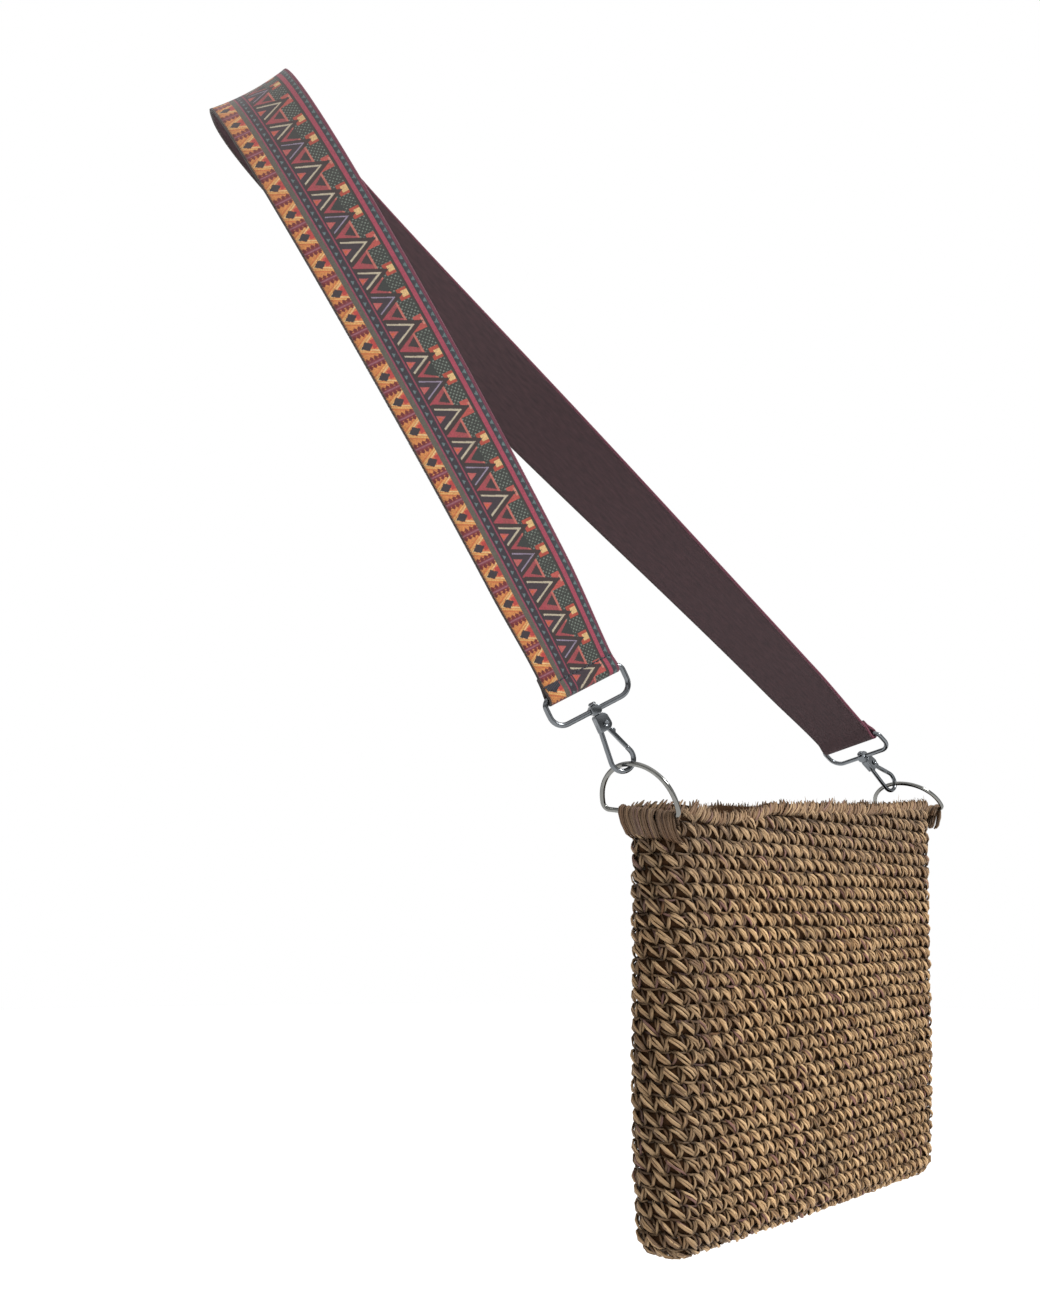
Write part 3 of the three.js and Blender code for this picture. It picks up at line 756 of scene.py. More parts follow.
def on_bag(around, reach):
    """Points and outward directions at shares round the bag and distances up it."""
    row = np.clip(reach / GRID_STEP, 0, len(grid_points) - 1.001)
    column = (around % 1.0) * ROUND_COUNT
    low = np.floor(row).astype(int)
    left = np.floor(column).astype(int) % ROUND_COUNT
    right = (left + 1) % ROUND_COUNT
    up_share = (row - low)[..., None]
    side_share = (column - np.floor(column))[..., None]

    def blend(grid):
        lower = grid[low, left] * (1 - side_share) + grid[low, right] * side_share
        upper = grid[low + 1, left] * (1 - side_share) + grid[low + 1, right] * side_share
        return lower * (1 - up_share) + upper * up_share

    return blend(grid_points), unit(blend(grid_outward))


def rim_reach(around):
    """How far up the outside the rim lies."""
    point, _ = on_bag(around, np.full(np.shape(around), LEVEL_RIM_REACH))
    return LEVEL_RIM_REACH + rim_rise(point[..., 0])


# Strands of one stitch. A path has four control points, each given as shares of the stitch's pitch
# and of the row's pitch and then millimetres outward. spread moves the middle of the strand
# sideways in millimetres, so that the strands of one leg meet at its ends.
LONG_LEG = ((-0.60, 0.52, -1.0), (-0.42, 0.32, 2.6), (0.12, -0.18, 2.5), (0.32, -0.54, -1.0))
SHORT_LEG = ((0.40, 0.42, -0.9), (0.52, 0.12, 1.3), (0.46, -0.24, 1.5), (0.30, -0.54, -0.9))
VALLEY_BAR = ((-0.55, -0.40, -0.9), (-0.20, -0.60, 0.3), (0.20, -0.66, 0.3), (0.55, -0.50, -0.9))
UNDER_LEG = ((-0.02, 0.56, -0.9), (0.30, 0.34, 0.4), (0.10, -0.05, 0.4), (0.44, -0.40, -0.9))
# The last number of each strand is painted light and shade: the middle strand of the long leg gets a painted
# highlight and the strands lying under the others are painted darker.
STITCH_STRANDS = (
    {"path": LONG_LEG, "spread": -1.35, "light_and_tone": 0.50},
    {"path": LONG_LEG, "spread": 0.0, "light_and_tone": 1.00},
    {"path": LONG_LEG, "spread": 1.35, "light_and_tone": 0.72},
    {"path": SHORT_LEG, "spread": -0.7, "light_and_tone": 0.40},
    {"path": SHORT_LEG, "spread": 0.7, "light_and_tone": 0.62},
    {"path": VALLEY_BAR, "spread": 0.0, "light_and_tone": 0.30},
    {"path": UNDER_LEG, "spread": 0.0, "light_and_tone": 0.25},
)
STITCH_STEPS = 5
STITCH_TAPER = (0.55, 1.0, 1.1, 1.0, 0.5)


def stitch_places():
    """Where each stitch sits: its share round the bag and its distance up it."""
    count = int(round(grid_length / STITCH_PITCH))
    around = []
    reach = []
    rows = int((rim_reach(np.array([0.25])).max() + 30) / ROW_PITCH)
    for row in range(rows):
        middle = (row + 0.5) * ROW_PITCH
        share = ((np.arange(count) + row * ROW_DRIFT) / count) % 1.0
        keep = middle < rim_reach(share) - EDGING_HEIGHT * 0.75
        around.append(share[keep])
        reach.append(np.full(keep.sum(), middle))
    around = np.concatenate(around)
    reach = np.concatenate(reach)
    around += random_numbers.normal(0, 0.05 / count, len(around))
    reach += random_numbers.normal(0, 0.35, len(reach))
    return around, reach


def strand_arrays(around, reach, strand):
    """Centre lines and outward directions of one strand in every stitch."""
    controls = np.array(strand["path"], float)
    controls[:, :2] *= (STITCH_PITCH, ROW_PITCH)
    run = unit(controls[3, :2] - controls[0, :2])
    controls[1:3, :2] += np.array((-run[1], run[0])) * strand["spread"]
    count = len(around)
    controls = np.repeat(controls[None], count, axis=0)
    controls += random_numbers.normal(0, STRAND_WANDER, controls.shape) * np.array((1.0, 1.0, 0.7))
    controls += random_numbers.normal(0, STITCH_WANDER, (count, 1, 3)) * np.array((1.0, 0.6, 0.5))
    local = bezier(controls, STITCH_STEPS)
    share = around[:, None] - local[..., 0] / grid_length
    points, outward = on_bag(share, reach[:, None] + local[..., 1])
    return points + outward * local[..., 2:3], outward, local[..., 2]


def strand_piece(name, groups, material, steps, taper, half_width, half_thickness, sides=4):
    """One joined mesh of many strands; groups hold centre lines, outward directions, heights and brightness
    levels, the last partly painted light and shade.
    """
    centres = np.concatenate([group[0] for group in groups])
    outward = np.concatenate([group[1] for group in groups])
    heights = np.concatenate([group[2] for group in groups])
    light_and_tone = np.concatenate([group[3] for group in groups])
    points, faces = tubes(centres, outward, half_width, half_thickness, taper, sides)
    faces = np.concatenate(faces) if sides == 4 else [*faces[0], *faces[1]]
    piece = make_piece(name, points + BAG_MIDDLE, faces, [material])
    # The tone adds a random real spread to each strand's painted light and shade.
    tone = np.clip(light_and_tone + random_numbers.normal(0, TONE_SPREAD, len(light_and_tone)), 0.0, 1.0)
    add_number(piece, "tone", np.repeat(tone, steps * sides))
    around = np.tile(np.arange(sides) / sides, len(centres) * steps)
    add_number(piece, "streak", around)
    # Painted shade: strands that lie deeper in the crochet are painted darker.
    shade_by_depth = np.clip((heights + 1.0) / 2.7, 0.0, 1.0)
    add_number(piece, "shade_by_depth", np.repeat(shade_by_depth.reshape(-1), sides))
    return piece


def crochet(material):
    """Rows of stitches all round the bag, in pieces by side and height."""
    around, reach = stitch_places()
    front = (around > 0.25) & (around < 0.75)
    high = reach > FLAT_REACH + ARC_REACH + BAG_HEIGHT * SPLIT_SHARE
    parts = {
        "crochet_front_high": front & high,
        "crochet_front_low": front & ~high,
        "crochet_back_high": ~front & high,
        "crochet_back_low": ~front & ~high,
    }
    for name, inside in parts.items():
        groups = []
        for strand in STITCH_STRANDS:
            centres, outward, heights = strand_arrays(around[inside], reach[inside], strand)
            light_and_tone = np.full(len(centres), strand["light_and_tone"])
            groups.append((centres, outward, heights, light_and_tone))
        strand_piece(name, groups, material, STITCH_STEPS, STITCH_TAPER,
                     STRAND_WIDTH / 2, STRAND_THICKNESS / 2)


def edging(material):
    """Slanted strands along the rim, in uneven tufts with frayed tips."""
    count = int(grid_length / EDGING_PITCH)
    groups = []
    for layer, lift in enumerate((-0.9, 0.0, 0.9)):
        around = (np.arange(count) + layer / 3) / count
        around = around + random_numbers.normal(0, 0.3 / count, count)
        tuft = random_numbers.normal(0, 1.0, count // 3 + 1).repeat(3)[:count]
        tall = EDGING_HEIGHT * random_numbers.uniform(0.72, 1.08, count) + tuft * 0.9
        lean = 0.5 + tuft * 0.22 + random_numbers.normal(0, 0.12, count)
        rim = rim_reach(around)
        share = np.array((0.0, 0.35, 0.8, 1.0))
        up = tall[:, None] * share
        side = up * lean[:, None] + random_numbers.normal(0, 0.4, (count, 4))
        out = np.array((-1.0, 1.9, 1.2, -0.3)) + lift + random_numbers.normal(0, 0.5, (count, 4))
        local = bezier(np.stack((side, up, out), axis=-1), STITCH_STEPS)
        share = around[:, None] - local[..., 0] / grid_length
        points, outward = on_bag(share, (rim - EDGING_HEIGHT + 0.4)[:, None] + local[..., 1])
        light_and_tone = random_numbers.uniform(0.0, 0.75, count)
        groups.append((points + outward * local[..., 2:3], outward, local[..., 2] + 0.6, light_and_tone))
    return strand_piece("raffia_edging", groups, material, STITCH_STEPS, (0.7, 1, 1.05, 1, 0.5),
                        EDGING_WIDTH / 2, STRAND_THICKNESS / 2)


def fringe(material):
    """Thin broken fibres that stand off the crochet."""
    count = FIBRE_COUNT
    around = random_numbers.uniform(0, 1, count)
    rim = rim_reach(around)
    at_rim = np.arange(count) < count * FIBRES_AT_RIM
    reach = np.where(at_rim, rim - 2.0, random_numbers.uniform(0.05, 1.0, count) * (rim - 8.0))
    spread = random_numbers.normal(0, 1.8, (count, 4, 3))
    spread[:, 0] = (0, 0, 0)
    steps = np.array((0.0, 0.35, 0.7, 1.0))[None, :]
    length = random_numbers.uniform(1.0, 3.0, count)[:, None]
    controls = spread * steps[..., None]
    controls[..., 2] = np.where(at_rim[:, None], 0.6, 0.5 + abs(controls[..., 2]) * 0.8)
    controls[..., 1] += np.where(at_rim[:, None], length * steps, 0.0)
    local = bezier(controls, 4)
    share = around[:, None] + local[..., 0] / grid_length
    points, outward = on_bag(share, reach[:, None] + local[..., 1])
    centres = points + outward * local[..., 2:3]
    light_and_tone = random_numbers.uniform(0.2, 1.0, count)
    group = (centres, outward, np.full(local.shape[:2], 0.9), light_and_tone)
    return strand_piece("raffia_fibres", [group], material, 4, (1, 0.9, 0.7, 0.3),
                        FIBRE_WIDTH / 2, FIBRE_THICKNESS / 2)


def bag_core(material):
    """Shell that the strands lie on, open at the top, its inner side bumpy like the crochet."""
    columns = CORE_COLUMNS
    rings = []
    around = np.arange(columns) / columns
    rim = rim_reach(around)
    for share in np.linspace(0, 1, CORE_OUTER_RINGS):
        reach = 0.5 + (rim - 1.5) * share
        points, outward = on_bag(around, reach)
        swell = -np.cos(2 * np.pi * reach / ROW_PITCH) * CORE_SWELL
        rings.append(points - outward * (CORE_DEPTH - swell)[:, None])
    inner_base = (FLAT_REACH + ARC_REACH) * INNER_BASE_SHARE
    stitches = int(round(grid_length / STITCH_PITCH))
    for share in np.linspace(1, 0, CORE_INNER_RINGS):
        reach = inner_base + (rim - 1.0 - inner_base) * share
        points, outward = on_bag(around, reach)
        row = reach / ROW_PITCH
        bump = np.sin(2 * np.pi * row) * 0.7
        bump = bump + np.sin(2 * np.pi * (around * stitches + row * ROW_DRIFT)) * 0.55
        rings.append(points - outward * (BAG_WALL - CORE_DEPTH + bump[:, None]))
    points = np.concatenate(rings)
    faces = [tuple(face) for face in loft_faces(len(rings), columns)]
    faces.append(tuple(range(columns))[::-1])
    last = (len(rings) - 1) * columns
    faces.append(tuple(range(last, last + columns)))
    piece = make_piece("raffia_core_shell", points + BAG_MIDDLE, faces, [material])
    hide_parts("bag_body")
    return piece


WRAP_PATH = (
    (7.5, -15.5), (3.0, -13.0), (-1.3, -7.0), (-3.2, -1.5), (-2.4, 2.1), (0.3, 3.4), (2.9, 1.6),
    (5.8, -2.0), (7.5, -5.0),
)
WRAP_TAPER = (0.5, 0.9, 1, 1, 1, 1, 1, 0.9, 0.6)
# Two layers of bundles: sideways shift in bundles, millimetres outward and height for the shade
WRAP_LAYERS = ((0.5, -0.8, 0.3), (0.0, 0.0, 1.2))
STRANDS_PER_BUNDLE = 3


def bar_wrap(name, place, node, material):
    """Raffia in bundles over a D-ring's bar, each run down onto the end of the bag."""
    strands = WRAP_BUNDLES * STRANDS_PER_BUNDLE
    bundle = np.arange(strands) // STRANDS_PER_BUNDLE
    within = np.arange(strands) % STRANDS_PER_BUNDLE - (STRANDS_PER_BUNDLE - 1) / 2
    pitch = WRAP_LENGTH / WRAP_BUNDLES
    toward_bag = 1.0 if place is near_ring else -1.0
    path = np.array(WRAP_PATH)
    steps = len(path)
    bar = place.at - BAG_MIDDLE
    groups = []
    for shift, out, height in WRAP_LAYERS:
        x = WRAP_SHIFT + (bundle + shift - (WRAP_BUNDLES - 1) / 2) * pitch + within * pitch * 0.27
        x = np.minimum(x, WRAP_SHIFT + WRAP_LENGTH / 2)
        wander = random_numbers.normal(0, 0.22, (strands, steps))
        lean = np.linspace(1.4, -0.9, steps) + random_numbers.normal(0, 0.5, WRAP_BUNDLES)[bundle][:, None]
        rise = random_numbers.normal(0, 0.3, WRAP_BUNDLES)[bundle] - abs(within) * 0.3 + out
        away = unit(path - (1.0, -4.0))
        centres = np.zeros((strands, steps, 3))
        for step in range(steps):
            centres[:, step] = bar + place.x * (x + lean[:, step] + wander[:, step])[:, None]
            centres[:, step, 0] += toward_bag * (path[step, 0] + away[step, 0] * rise)
            centres[:, step, 2] += path[step, 1] + away[step, 1] * rise + wander[:, step] * 0.5
        outward = np.zeros_like(centres)
        outward[..., 0] = toward_bag * away[:, 0]
        outward[..., 2] = away[:, 1]
        # Painted shade: the bundles are kept dark, and the outer strands of each bundle are darker still.
        light_and_tone = random_numbers.normal(0.22, 0.12, WRAP_BUNDLES)[bundle] - abs(within) * 0.12
        heights = np.full((strands, steps), height) - abs(within)[:, None] * 0.5
        groups.append((centres, outward, heights, light_and_tone))
    piece = strand_piece(name, groups, material, steps, WRAP_TAPER, pitch * 0.19, 0.75)
    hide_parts(node)
    return piece


# Strap


def ply_at(height):
    """Distance of the folded webbing from the fold's middle plane."""
    offset = (STRAP_THICKNESS + PLY_GAP) / 2
    radius = OVAL_WIRE / 2 + LOOP_SLACK + STRAP_THICKNESS / 2
    share = min(height / JOIN_LENGTH, 1.0)
    return offset + (radius - offset) * (1 + math.cos(math.pi * share)) / 2


def fold_path():
    """Out and up from the ring's bar, from the tail's end round to the joined webbing."""
    radius = OVAL_WIRE / 2 + LOOP_SLACK + STRAP_THICKNESS / 2
    path = [(-ply_at(height), height) for height in np.linspace(TAIL_LENGTH, 0, TAIL_POINTS + 1)[:-1]]
    for angle in np.linspace(math.pi, 2 * math.pi, FOLD_POINTS):
        path.append((radius * math.cos(angle), radius * math.sin(angle)))
    path.extend((ply_at(height), height) for height in np.linspace(0, JOIN_LENGTH, JOIN_POINTS + 1)[1:])
    return path


def crown():
    """Middle of the strap's crown, the way it runs and the way across it."""
    heading = math.radians(CROWN_HEADING)
    slope = math.radians(CROWN_SLOPE)
    along = np.array((math.cos(heading), math.sin(heading), 0))
    across = np.array((
        math.sin(heading) * math.cos(slope),
        -math.cos(heading) * math.cos(slope),
        math.sin(slope),
    ))
    out = np.cross(across, along)
    return out * (STRAP_THICKNESS / 2 + CROWN_DISH), along, across


def ease(value, low, high):
    share = np.clip((value - low) / (high - low), 0, 1)
    return share * share * (3 - 2 * share)


def leg_stations(place, arms, end_along):
    """Middles, across directions, widths and dishes from a clasp to the crown."""
    out = np.cross(place.x, place.z)
    bar = place.at + place.z * (OVAL_GAP + OVAL_WIRE)
    stations = [(bar + out * a + place.z * up, place.x, PINCHED_WIDTH, 0.0) for a, up in fold_path()]
    foot = stations[-1][0]
    crown_at, _, crown_across = crown()
    controls = np.array((
        foot, foot + place.z * arms[0], crown_at - end_along * arms[1], crown_at,
    ))
    fine = bezier(controls[None], 1200)[0]
    gone = np.concatenate(([0], np.cumsum(np.linalg.norm(np.diff(fine, axis=0), axis=-1))))
    count = int(gone[-1] / STATION_STEP)
    for i in range(1, count + 1):
        share = i / count
        run = share * gone[-1]
        at = np.array([np.interp(run, gone, fine[:, axis]) for axis in range(3)])
        turned = ease(share, 0, 1)
        across = unit(place.x * (1 - turned) + crown_across * turned)
        width = PINCHED_WIDTH + (STRAP_WIDTH - PINCHED_WIDTH) * ease(run, 0, PINCH_LENGTH)
        stations.append((at, across, width, CROWN_DISH * ease(share, 0.6, 1)))
    return stations


def strap_stations():
    _, along, _ = crown()
    near_leg = leg_stations(near_clasp, NEAR_ARMS, along)
    far_leg = leg_stations(far_clasp, FAR_ARMS, -along)
    stations = near_leg + far_leg[:-1][::-1]
    at = np.array([station[0] for station in stations])
    across = np.array([station[1] for station in stations])
    width = np.array([station[2] for station in stations])
    dish = np.array([station[3] for station in stations])
    forward = unit(np.gradient(at, axis=0))
    across = unit(across - forward * (across * forward).sum(-1, keepdims=True))
    out = np.cross(across, forward)
    gone = np.concatenate(([0], np.cumsum(np.linalg.norm(np.diff(at, axis=0), axis=-1))))
    fold_middle = gone[TAIL_POINTS + FOLD_POINTS // 2]
    return {"at": at, "across": across, "out": out, "width": width, "dish": dish,
            "along": gone - fold_middle}


def strap_point(side, lift, stations):
    """A point on the strap: side from -1 to 1 across it, lift from its middle in millimetres."""
    middle = stations["at"] + stations["across"] * (side * stations["width"] / 2)[..., None]
    dished = stations["dish"] * (side ** 2 - 1)
    return middle + stations["out"] * (dished + lift)[..., None]


STRAP_SECTION = 12


def strap_webbing(face, reverse, stations):
    """The whole run of webbing, its face patterned and its reverse plain."""
    shares = np.linspace(-1, 1, STRAP_SECTION + 1)
    half = STRAP_THICKNESS / 2
    edge = WEBBING_EDGE
    section = []
    inset = shares * (1 - edge / STRAP_WIDTH * 2)
    section.extend((share, half) for share in inset)
    section.append((1.0, half - edge))
    section.append((1.0, -half + edge))
    section.extend((share, -half) for share in inset[::-1])
    section.append((-1.0, -half + edge))
    section.append((-1.0, half - edge))
    count = len(stations["at"])
    rings = [strap_point(np.full(count, side), np.full(count, lift), stations)
             for side, lift in section]
    points = np.stack(rings, axis=1)
    columns = len(section)
    faces = [tuple(quad) for quad in loft_faces(count, columns)]
    faces.append(tuple(range(columns))[::-1])
    faces.append(tuple(range((count - 1) * columns, count * columns)))
    on_face = np.zeros(columns, int)
    on_face[STRAP_SECTION:] = 1
    on_face[-1] = 0
    on_face[STRAP_SECTION] = 0
    indices = np.concatenate((np.tile(on_face, count - 1), (1, 1)))
    piece = make_piece("strap_webbing", points.reshape(-1, 3), faces, [face, reverse], indices=indices)
    add_number(piece, "along", np.repeat(stations["along"], columns))
    from_right = np.array([(1 - side) / 2 * 50.0 for side, _ in section])
    add_number(piece, "across", np.tile(from_right, count))
    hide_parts("strap")
    return piece


def strap_length(stations):
    return float(stations["along"][-1] - stations["along"][0])


def resampled(stations, runs):
    """The strap's stations at other distances along it."""
    gone = stations["along"]
    out = {"along": runs}
    for key in ("at", "across", "out"):
        out[key] = np.stack([np.interp(runs, gone, stations[key][:, i]) for i in range(3)], axis=-1)
    for key in ("width", "dish"):
        out[key] = np.interp(runs, gone, stations[key])
    return out


def selvedge(name, side, material, stations):
    """Overcast threads along one edge of the strap."""
    runs = np.arange(stations["along"][0] + 1, stations["along"][-1] - 1, SELVEDGE_PITCH)
    runs = runs + random_numbers.normal(0, 0.06, len(runs))
    half = STRAP_THICKNESS / 2
    hem = 1.0 - SELVEDGE_HEM / STRAP_WIDTH * 2
    hoop = ((hem, half + 0.02), (1.0, half - 0.1), (1.0 + SELVEDGE_BULGE, 0.0), (1.0, -half + 0.1),
            (hem, -half - 0.02))
    paths = []
    for i, (share, lift) in enumerate(hoop):
        slid = resampled(stations, runs + SELVEDGE_SLANT * (i - 2))
        count = len(runs)
        paths.append(strap_point(np.full(count, side * share), np.full(count, lift), slid))
    centres = np.stack(paths, axis=1)
    base = resampled(stations, runs)
    outward = np.stack([base["out"] * lift + base["across"] * side * 0.6 for _, lift in hoop], axis=1)
    points, faces = tubes(centres, unit(outward), EDGE_THREAD_WIDTH / 2,
                          EDGE_THREAD_THICKNESS / 2, (0.7, 1, 1, 1, 0.7))
    piece = make_piece(name, points, np.concatenate(faces), [material])
    return piece


def seam(name, stations, at_run, material, patch):
    """A row of stitches across the folded webbing, and a bar of close stitches over it."""
    shares = np.linspace(-SEAM_END, SEAM_END, SEAM_STITCHES)
    centres = []
    half = STRAP_THICKNESS / 2 + 0.2
    steps = np.linspace(-1, 1, 5)
    for share in shares:
        runs = np.full(5, at_run) + steps * 0.2
        slid = resampled(stations, runs)
        lift = half - 0.3 * steps ** 4
        centres.append(strap_point(share + steps * SEAM_HALF_STITCH, lift, slid))
    if patch:
        for k, share in enumerate(np.linspace(-0.60, -0.92, 9)):
            runs = np.linspace(at_run + 0.8, at_run - 4.6 + 0.35 * abs(k - 4), 5)
            slid = resampled(stations, runs)
            centres.append(strap_point(np.full(5, share), half - 0.3 * steps ** 4, slid))
    centres = np.array(centres)
    base = resampled(stations, np.full(5, at_run))
    outward = np.repeat(base["out"][None], len(centres), axis=0)
    points, faces = tubes(centres, outward, SEAM_THREAD_WIDTH / 2,
                          SEAM_THREAD_THICKNESS / 2, (0.6, 1, 1, 1, 0.6), 6)
    piece = make_piece(name, points, [*faces[0], *faces[1]], [material])
    return piece


# Metal


def arc(x, z, radius, start, end, steps):
    """Points of an arc in the frame's XZ plane, angles in degrees."""
    angles = np.radians(np.linspace(start, end, steps + 1))
    return [(x + radius * math.cos(a), 0.0, z + radius * math.sin(a)) for a in angles]


def wire(path, diameter, closed, sides=20):
    """Round wire along a path, as points and faces, drawn within an eight-sided one."""
    diameter = diameter * WIRE_FIT
    path = np.array(path, float)
    before = np.roll(path, 1, axis=0)
    after = np.roll(path, -1, axis=0)
    if not closed:
        before[0] = path[0]
        after[-1] = path[-1]
    along = unit(after - before)
    flat = np.cross(along, (0.0, 1.0, 0.0))
    angles = 2 * np.pi * np.arange(sides) / sides
    cross = np.array((0.0, 1.0, 0.0))
    rings = (path[:, None] + flat[:, None] * np.cos(angles)[None, :, None] * diameter / 2
             + cross * np.sin(angles)[None, :, None] * diameter / 2)
    faces = [tuple(quad) for quad in loft_faces(len(path), sides, closed)]
    if not closed:
        faces.append(tuple(range(sides))[::-1])
        faces.append(tuple(range((len(path) - 1) * sides, len(path) * sides)))
    return rings.reshape(-1, 3), faces


def plate(outline, low, high):
    """Flat plate in the XZ plane between two depths."""
    count = len(outline)
    points = [(x, y, z) for y in (low, high) for x, z in outline]
    faces = [tuple(range(count)), tuple(range(2 * count - 1, count - 1, -1))]
    for i in range(count):
        following = (i + 1) % count
        faces.append((i, i + count, following + count, following))
    return np.array(points), faces


def lathe(profile_points, steps=28, axis="z"):
    """Turned solid from pairs of radius and height."""
    rings = []
    for radius, height in profile_points:
        for k in range(steps):
            angle = 2 * math.pi * k / steps
            if axis == "z":
                rings.append((radius * math.cos(angle), radius * math.sin(angle), height))
            else:
                rings.append((radius * math.cos(angle), height, radius * math.sin(angle)))
    faces = [tuple(quad) for quad in loft_faces(len(profile_points), steps)]
    faces.append(tuple(range(steps))[::-1])
    last = (len(profile_points) - 1) * steps
    faces.append(tuple(range(last, last + steps)))
    return np.array(rings), faces


def metal_piece(name, shapes, place, material, node, body="root", bevel=0.0):
    """Joins shapes in one frame into one metal piece that stands for a CAD node."""
    points = []
    faces = []
    for shape_points, shape_faces in shapes:
        start = sum(len(group) for group in points)
        points.append(shape_points)
        faces.extend(tuple(i + start for i in face) for face in shape_faces)
    piece = make_piece(name, place.world(np.concatenate(points)), faces, [material], body)
    with_bmesh = bmesh.new()
    with_bmesh.from_mesh(piece.data)
    bmesh.ops.recalc_face_normals(with_bmesh, faces=with_bmesh.faces)
    if bevel:
        sharp = [edge for edge in with_bmesh.edges
                 if len(edge.link_faces) == 2 and edge.calc_face_angle() > math.radians(BEVELLED_TURN)]
        bmesh.ops.bevel(with_bmesh, geom=sharp, offset=bevel * 0.001, segments=3, profile=0.6,
                        affect="EDGES", clamp_overlap=True)
    with_bmesh.to_mesh(piece.data)
    with_bmesh.free()
    piece.data.polygons.foreach_set("use_smooth", np.ones(len(piece.data.polygons), bool))
    piece.data.set_sharp_from_angle(angle=math.radians(SHARP_TURN))
    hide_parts(node)
    return piece


def oval_ring_shapes():
    """Oval strap ring and its collar, in the clasp's frame."""
    half = (OVAL_INSIDE + OVAL_WIRE) / 2
    top = OVAL_GAP + OVAL_WIRE
    path = [
        *arc(half - OVAL_TOP_CORNER, top - OVAL_TOP_CORNER, OVAL_TOP_CORNER, 90, 0, 8),
        *arc(half - OVAL_LOW_CORNER, OVAL_LOW_CORNER, OVAL_LOW_CORNER, 0, -90, 10),
        *arc(OVAL_LOW_CORNER - half, OVAL_LOW_CORNER, OVAL_LOW_CORNER, -90, -180, 10),
        *arc(OVAL_TOP_CORNER - half, top - OVAL_TOP_CORNER, OVAL_TOP_CORNER, -180, -270, 8),
    ]
    side = COLLAR_WIDTH / 2
    chamfer = COLLAR_WIDTH / 5
    high = COLLAR_HEIGHT / 2
    outline = [
        (-side, -high + chamfer), (-side + chamfer, -high), (side - chamfer, -high),
        (side, -high + chamfer), (side, high - chamfer), (side - chamfer, high),
        (-side + chamfer, high), (-side, high - chamfer),
    ]
    return [wire(path, OVAL_WIRE, True), plate(outline, -COLLAR_DEPTH / 2, COLLAR_DEPTH / 2)]


bight = np.array((BIGHT_OFFSET, 0.0, -BIGHT_DROP))
slant = math.radians(GATE_SLANT)
nose_start = bight + BIGHT_RADIUS * np.array((math.cos(slant), 0.0, math.sin(slant)))
gate_along = np.array((-math.sin(slant), 0.0, math.cos(slant)))
rivet_at = nose_start + gate_along * GATE_REACH
nose_tip = nose_start + gate_along * NOSE_LENGTH
block_top = -COLLAR_HEIGHT / 2 - METAL_GAP


def hook_path():
    curve = arc(bight[0], bight[2], BIGHT_RADIUS, 180 - LEG_SLANT, 360 + GATE_SLANT, 28)
    rise = block_top - HOOK_WIRE - curve[0][2]
    top = (curve[0][0] + rise * math.tan(math.radians(LEG_SLANT)), 0.0, curve[0][2] + rise)
    return [top, *curve, tuple(nose_tip)]


def block_shapes():
    """Hook block: two cheeks beside the lever and a filling over and beside its slot."""
    left = hook_path()[0][0] - HOOK_WIRE / 2
    right = rivet_at[0] + BLOCK_RADIUS
    low = rivet_at[2] - BLOCK_RADIUS
    curve = arc(rivet_at[0], rivet_at[2], BLOCK_RADIUS, 0, -90, 6)
    top = [
        (left, block_top - BLOCK_EDGE), (left + BLOCK_EDGE, block_top),
        (right - BLOCK_SHOULDER, block_top),
        (right - BLOCK_SHOULDER_INSET, block_top - BLOCK_SHOULDER),
    ]
    heel = (left - BLOCK_HEEL_OUT, low)
    outline = [*top, *[(x, z) for x, _, z in curve], heel]
    slot_half = GATE_EYE_RADIUS + METAL_GAP
    slot_left = rivet_at[0] - slot_half
    slot_high = rivet_at[2] + slot_half
    filling = [*top, (right - SLOT_INSET, slot_high), (slot_left, slot_high), (slot_left, low), heel]
    half = BLOCK_THICKNESS / 2
    slot_depth = GATE_THICKNESS / 2 + METAL_GAP
    return [plate(outline, -half, -slot_depth), plate(outline, slot_depth, half),
            plate(filling, -slot_depth, slot_depth)]


def post_shape():
    head = COLLAR_HEIGHT / 2 + METAL_GAP
    return lathe([
        (POST_RADIUS, block_top - POST_IN_BLOCK), (POST_RADIUS, head), (POST_HEAD_RADIUS, head),
        (POST_HEAD_RADIUS, head + POST_HEAD_HEIGHT * 0.6),
        (POST_HEAD_RADIUS * 0.7, head + POST_HEAD_HEIGHT), (0.05, head + POST_HEAD_HEIGHT),
    ])


def gate_shapes():
    """Lever with its eye at the rivet, slanted out to the nose."""
    length = GATE_REACH - NOSE_LENGTH - METAL_GAP
    half = GATE_WIDTH / 2
    tab_end, tab_turn, tab_top, tab_start = (-length * share for share in GATE_TAB_SHARES)
    bar = [
        (-half, 0.0), (-half, -length), (half, -length), (half, tab_end),
        (half + GATE_TAB, tab_turn), (half + GATE_TAB, tab_top),
        (half, tab_start), (half, 0.0),
    ]
    return [plate(bar, -GATE_THICKNESS / 2, GATE_THICKNESS / 2),
            lathe([(0.05, -GATE_THICKNESS / 2), (GATE_EYE_RADIUS, -GATE_THICKNESS / 2),
                   (GATE_EYE_RADIUS, GATE_THICKNESS / 2), (0.05, GATE_THICKNESS / 2)], 28, "y")]


def rivet_shape():
    face = BLOCK_THICKNESS / 2 + METAL_GAP
    top = face + RIVET_HEAD_HEIGHT
    ring = RIVET_HEAD_RADIUS
    half = [(0.35, top - 0.45), (0.9, top - 0.2), (1.3, top - 0.05), (ring - 0.2, top),
            (ring, top - 0.25), (ring, face), (RIVET_RADIUS, face)]
    mirrored = [(radius, -height) for radius, height in half]
    return lathe(mirrored + half[::-1], 28, "y")


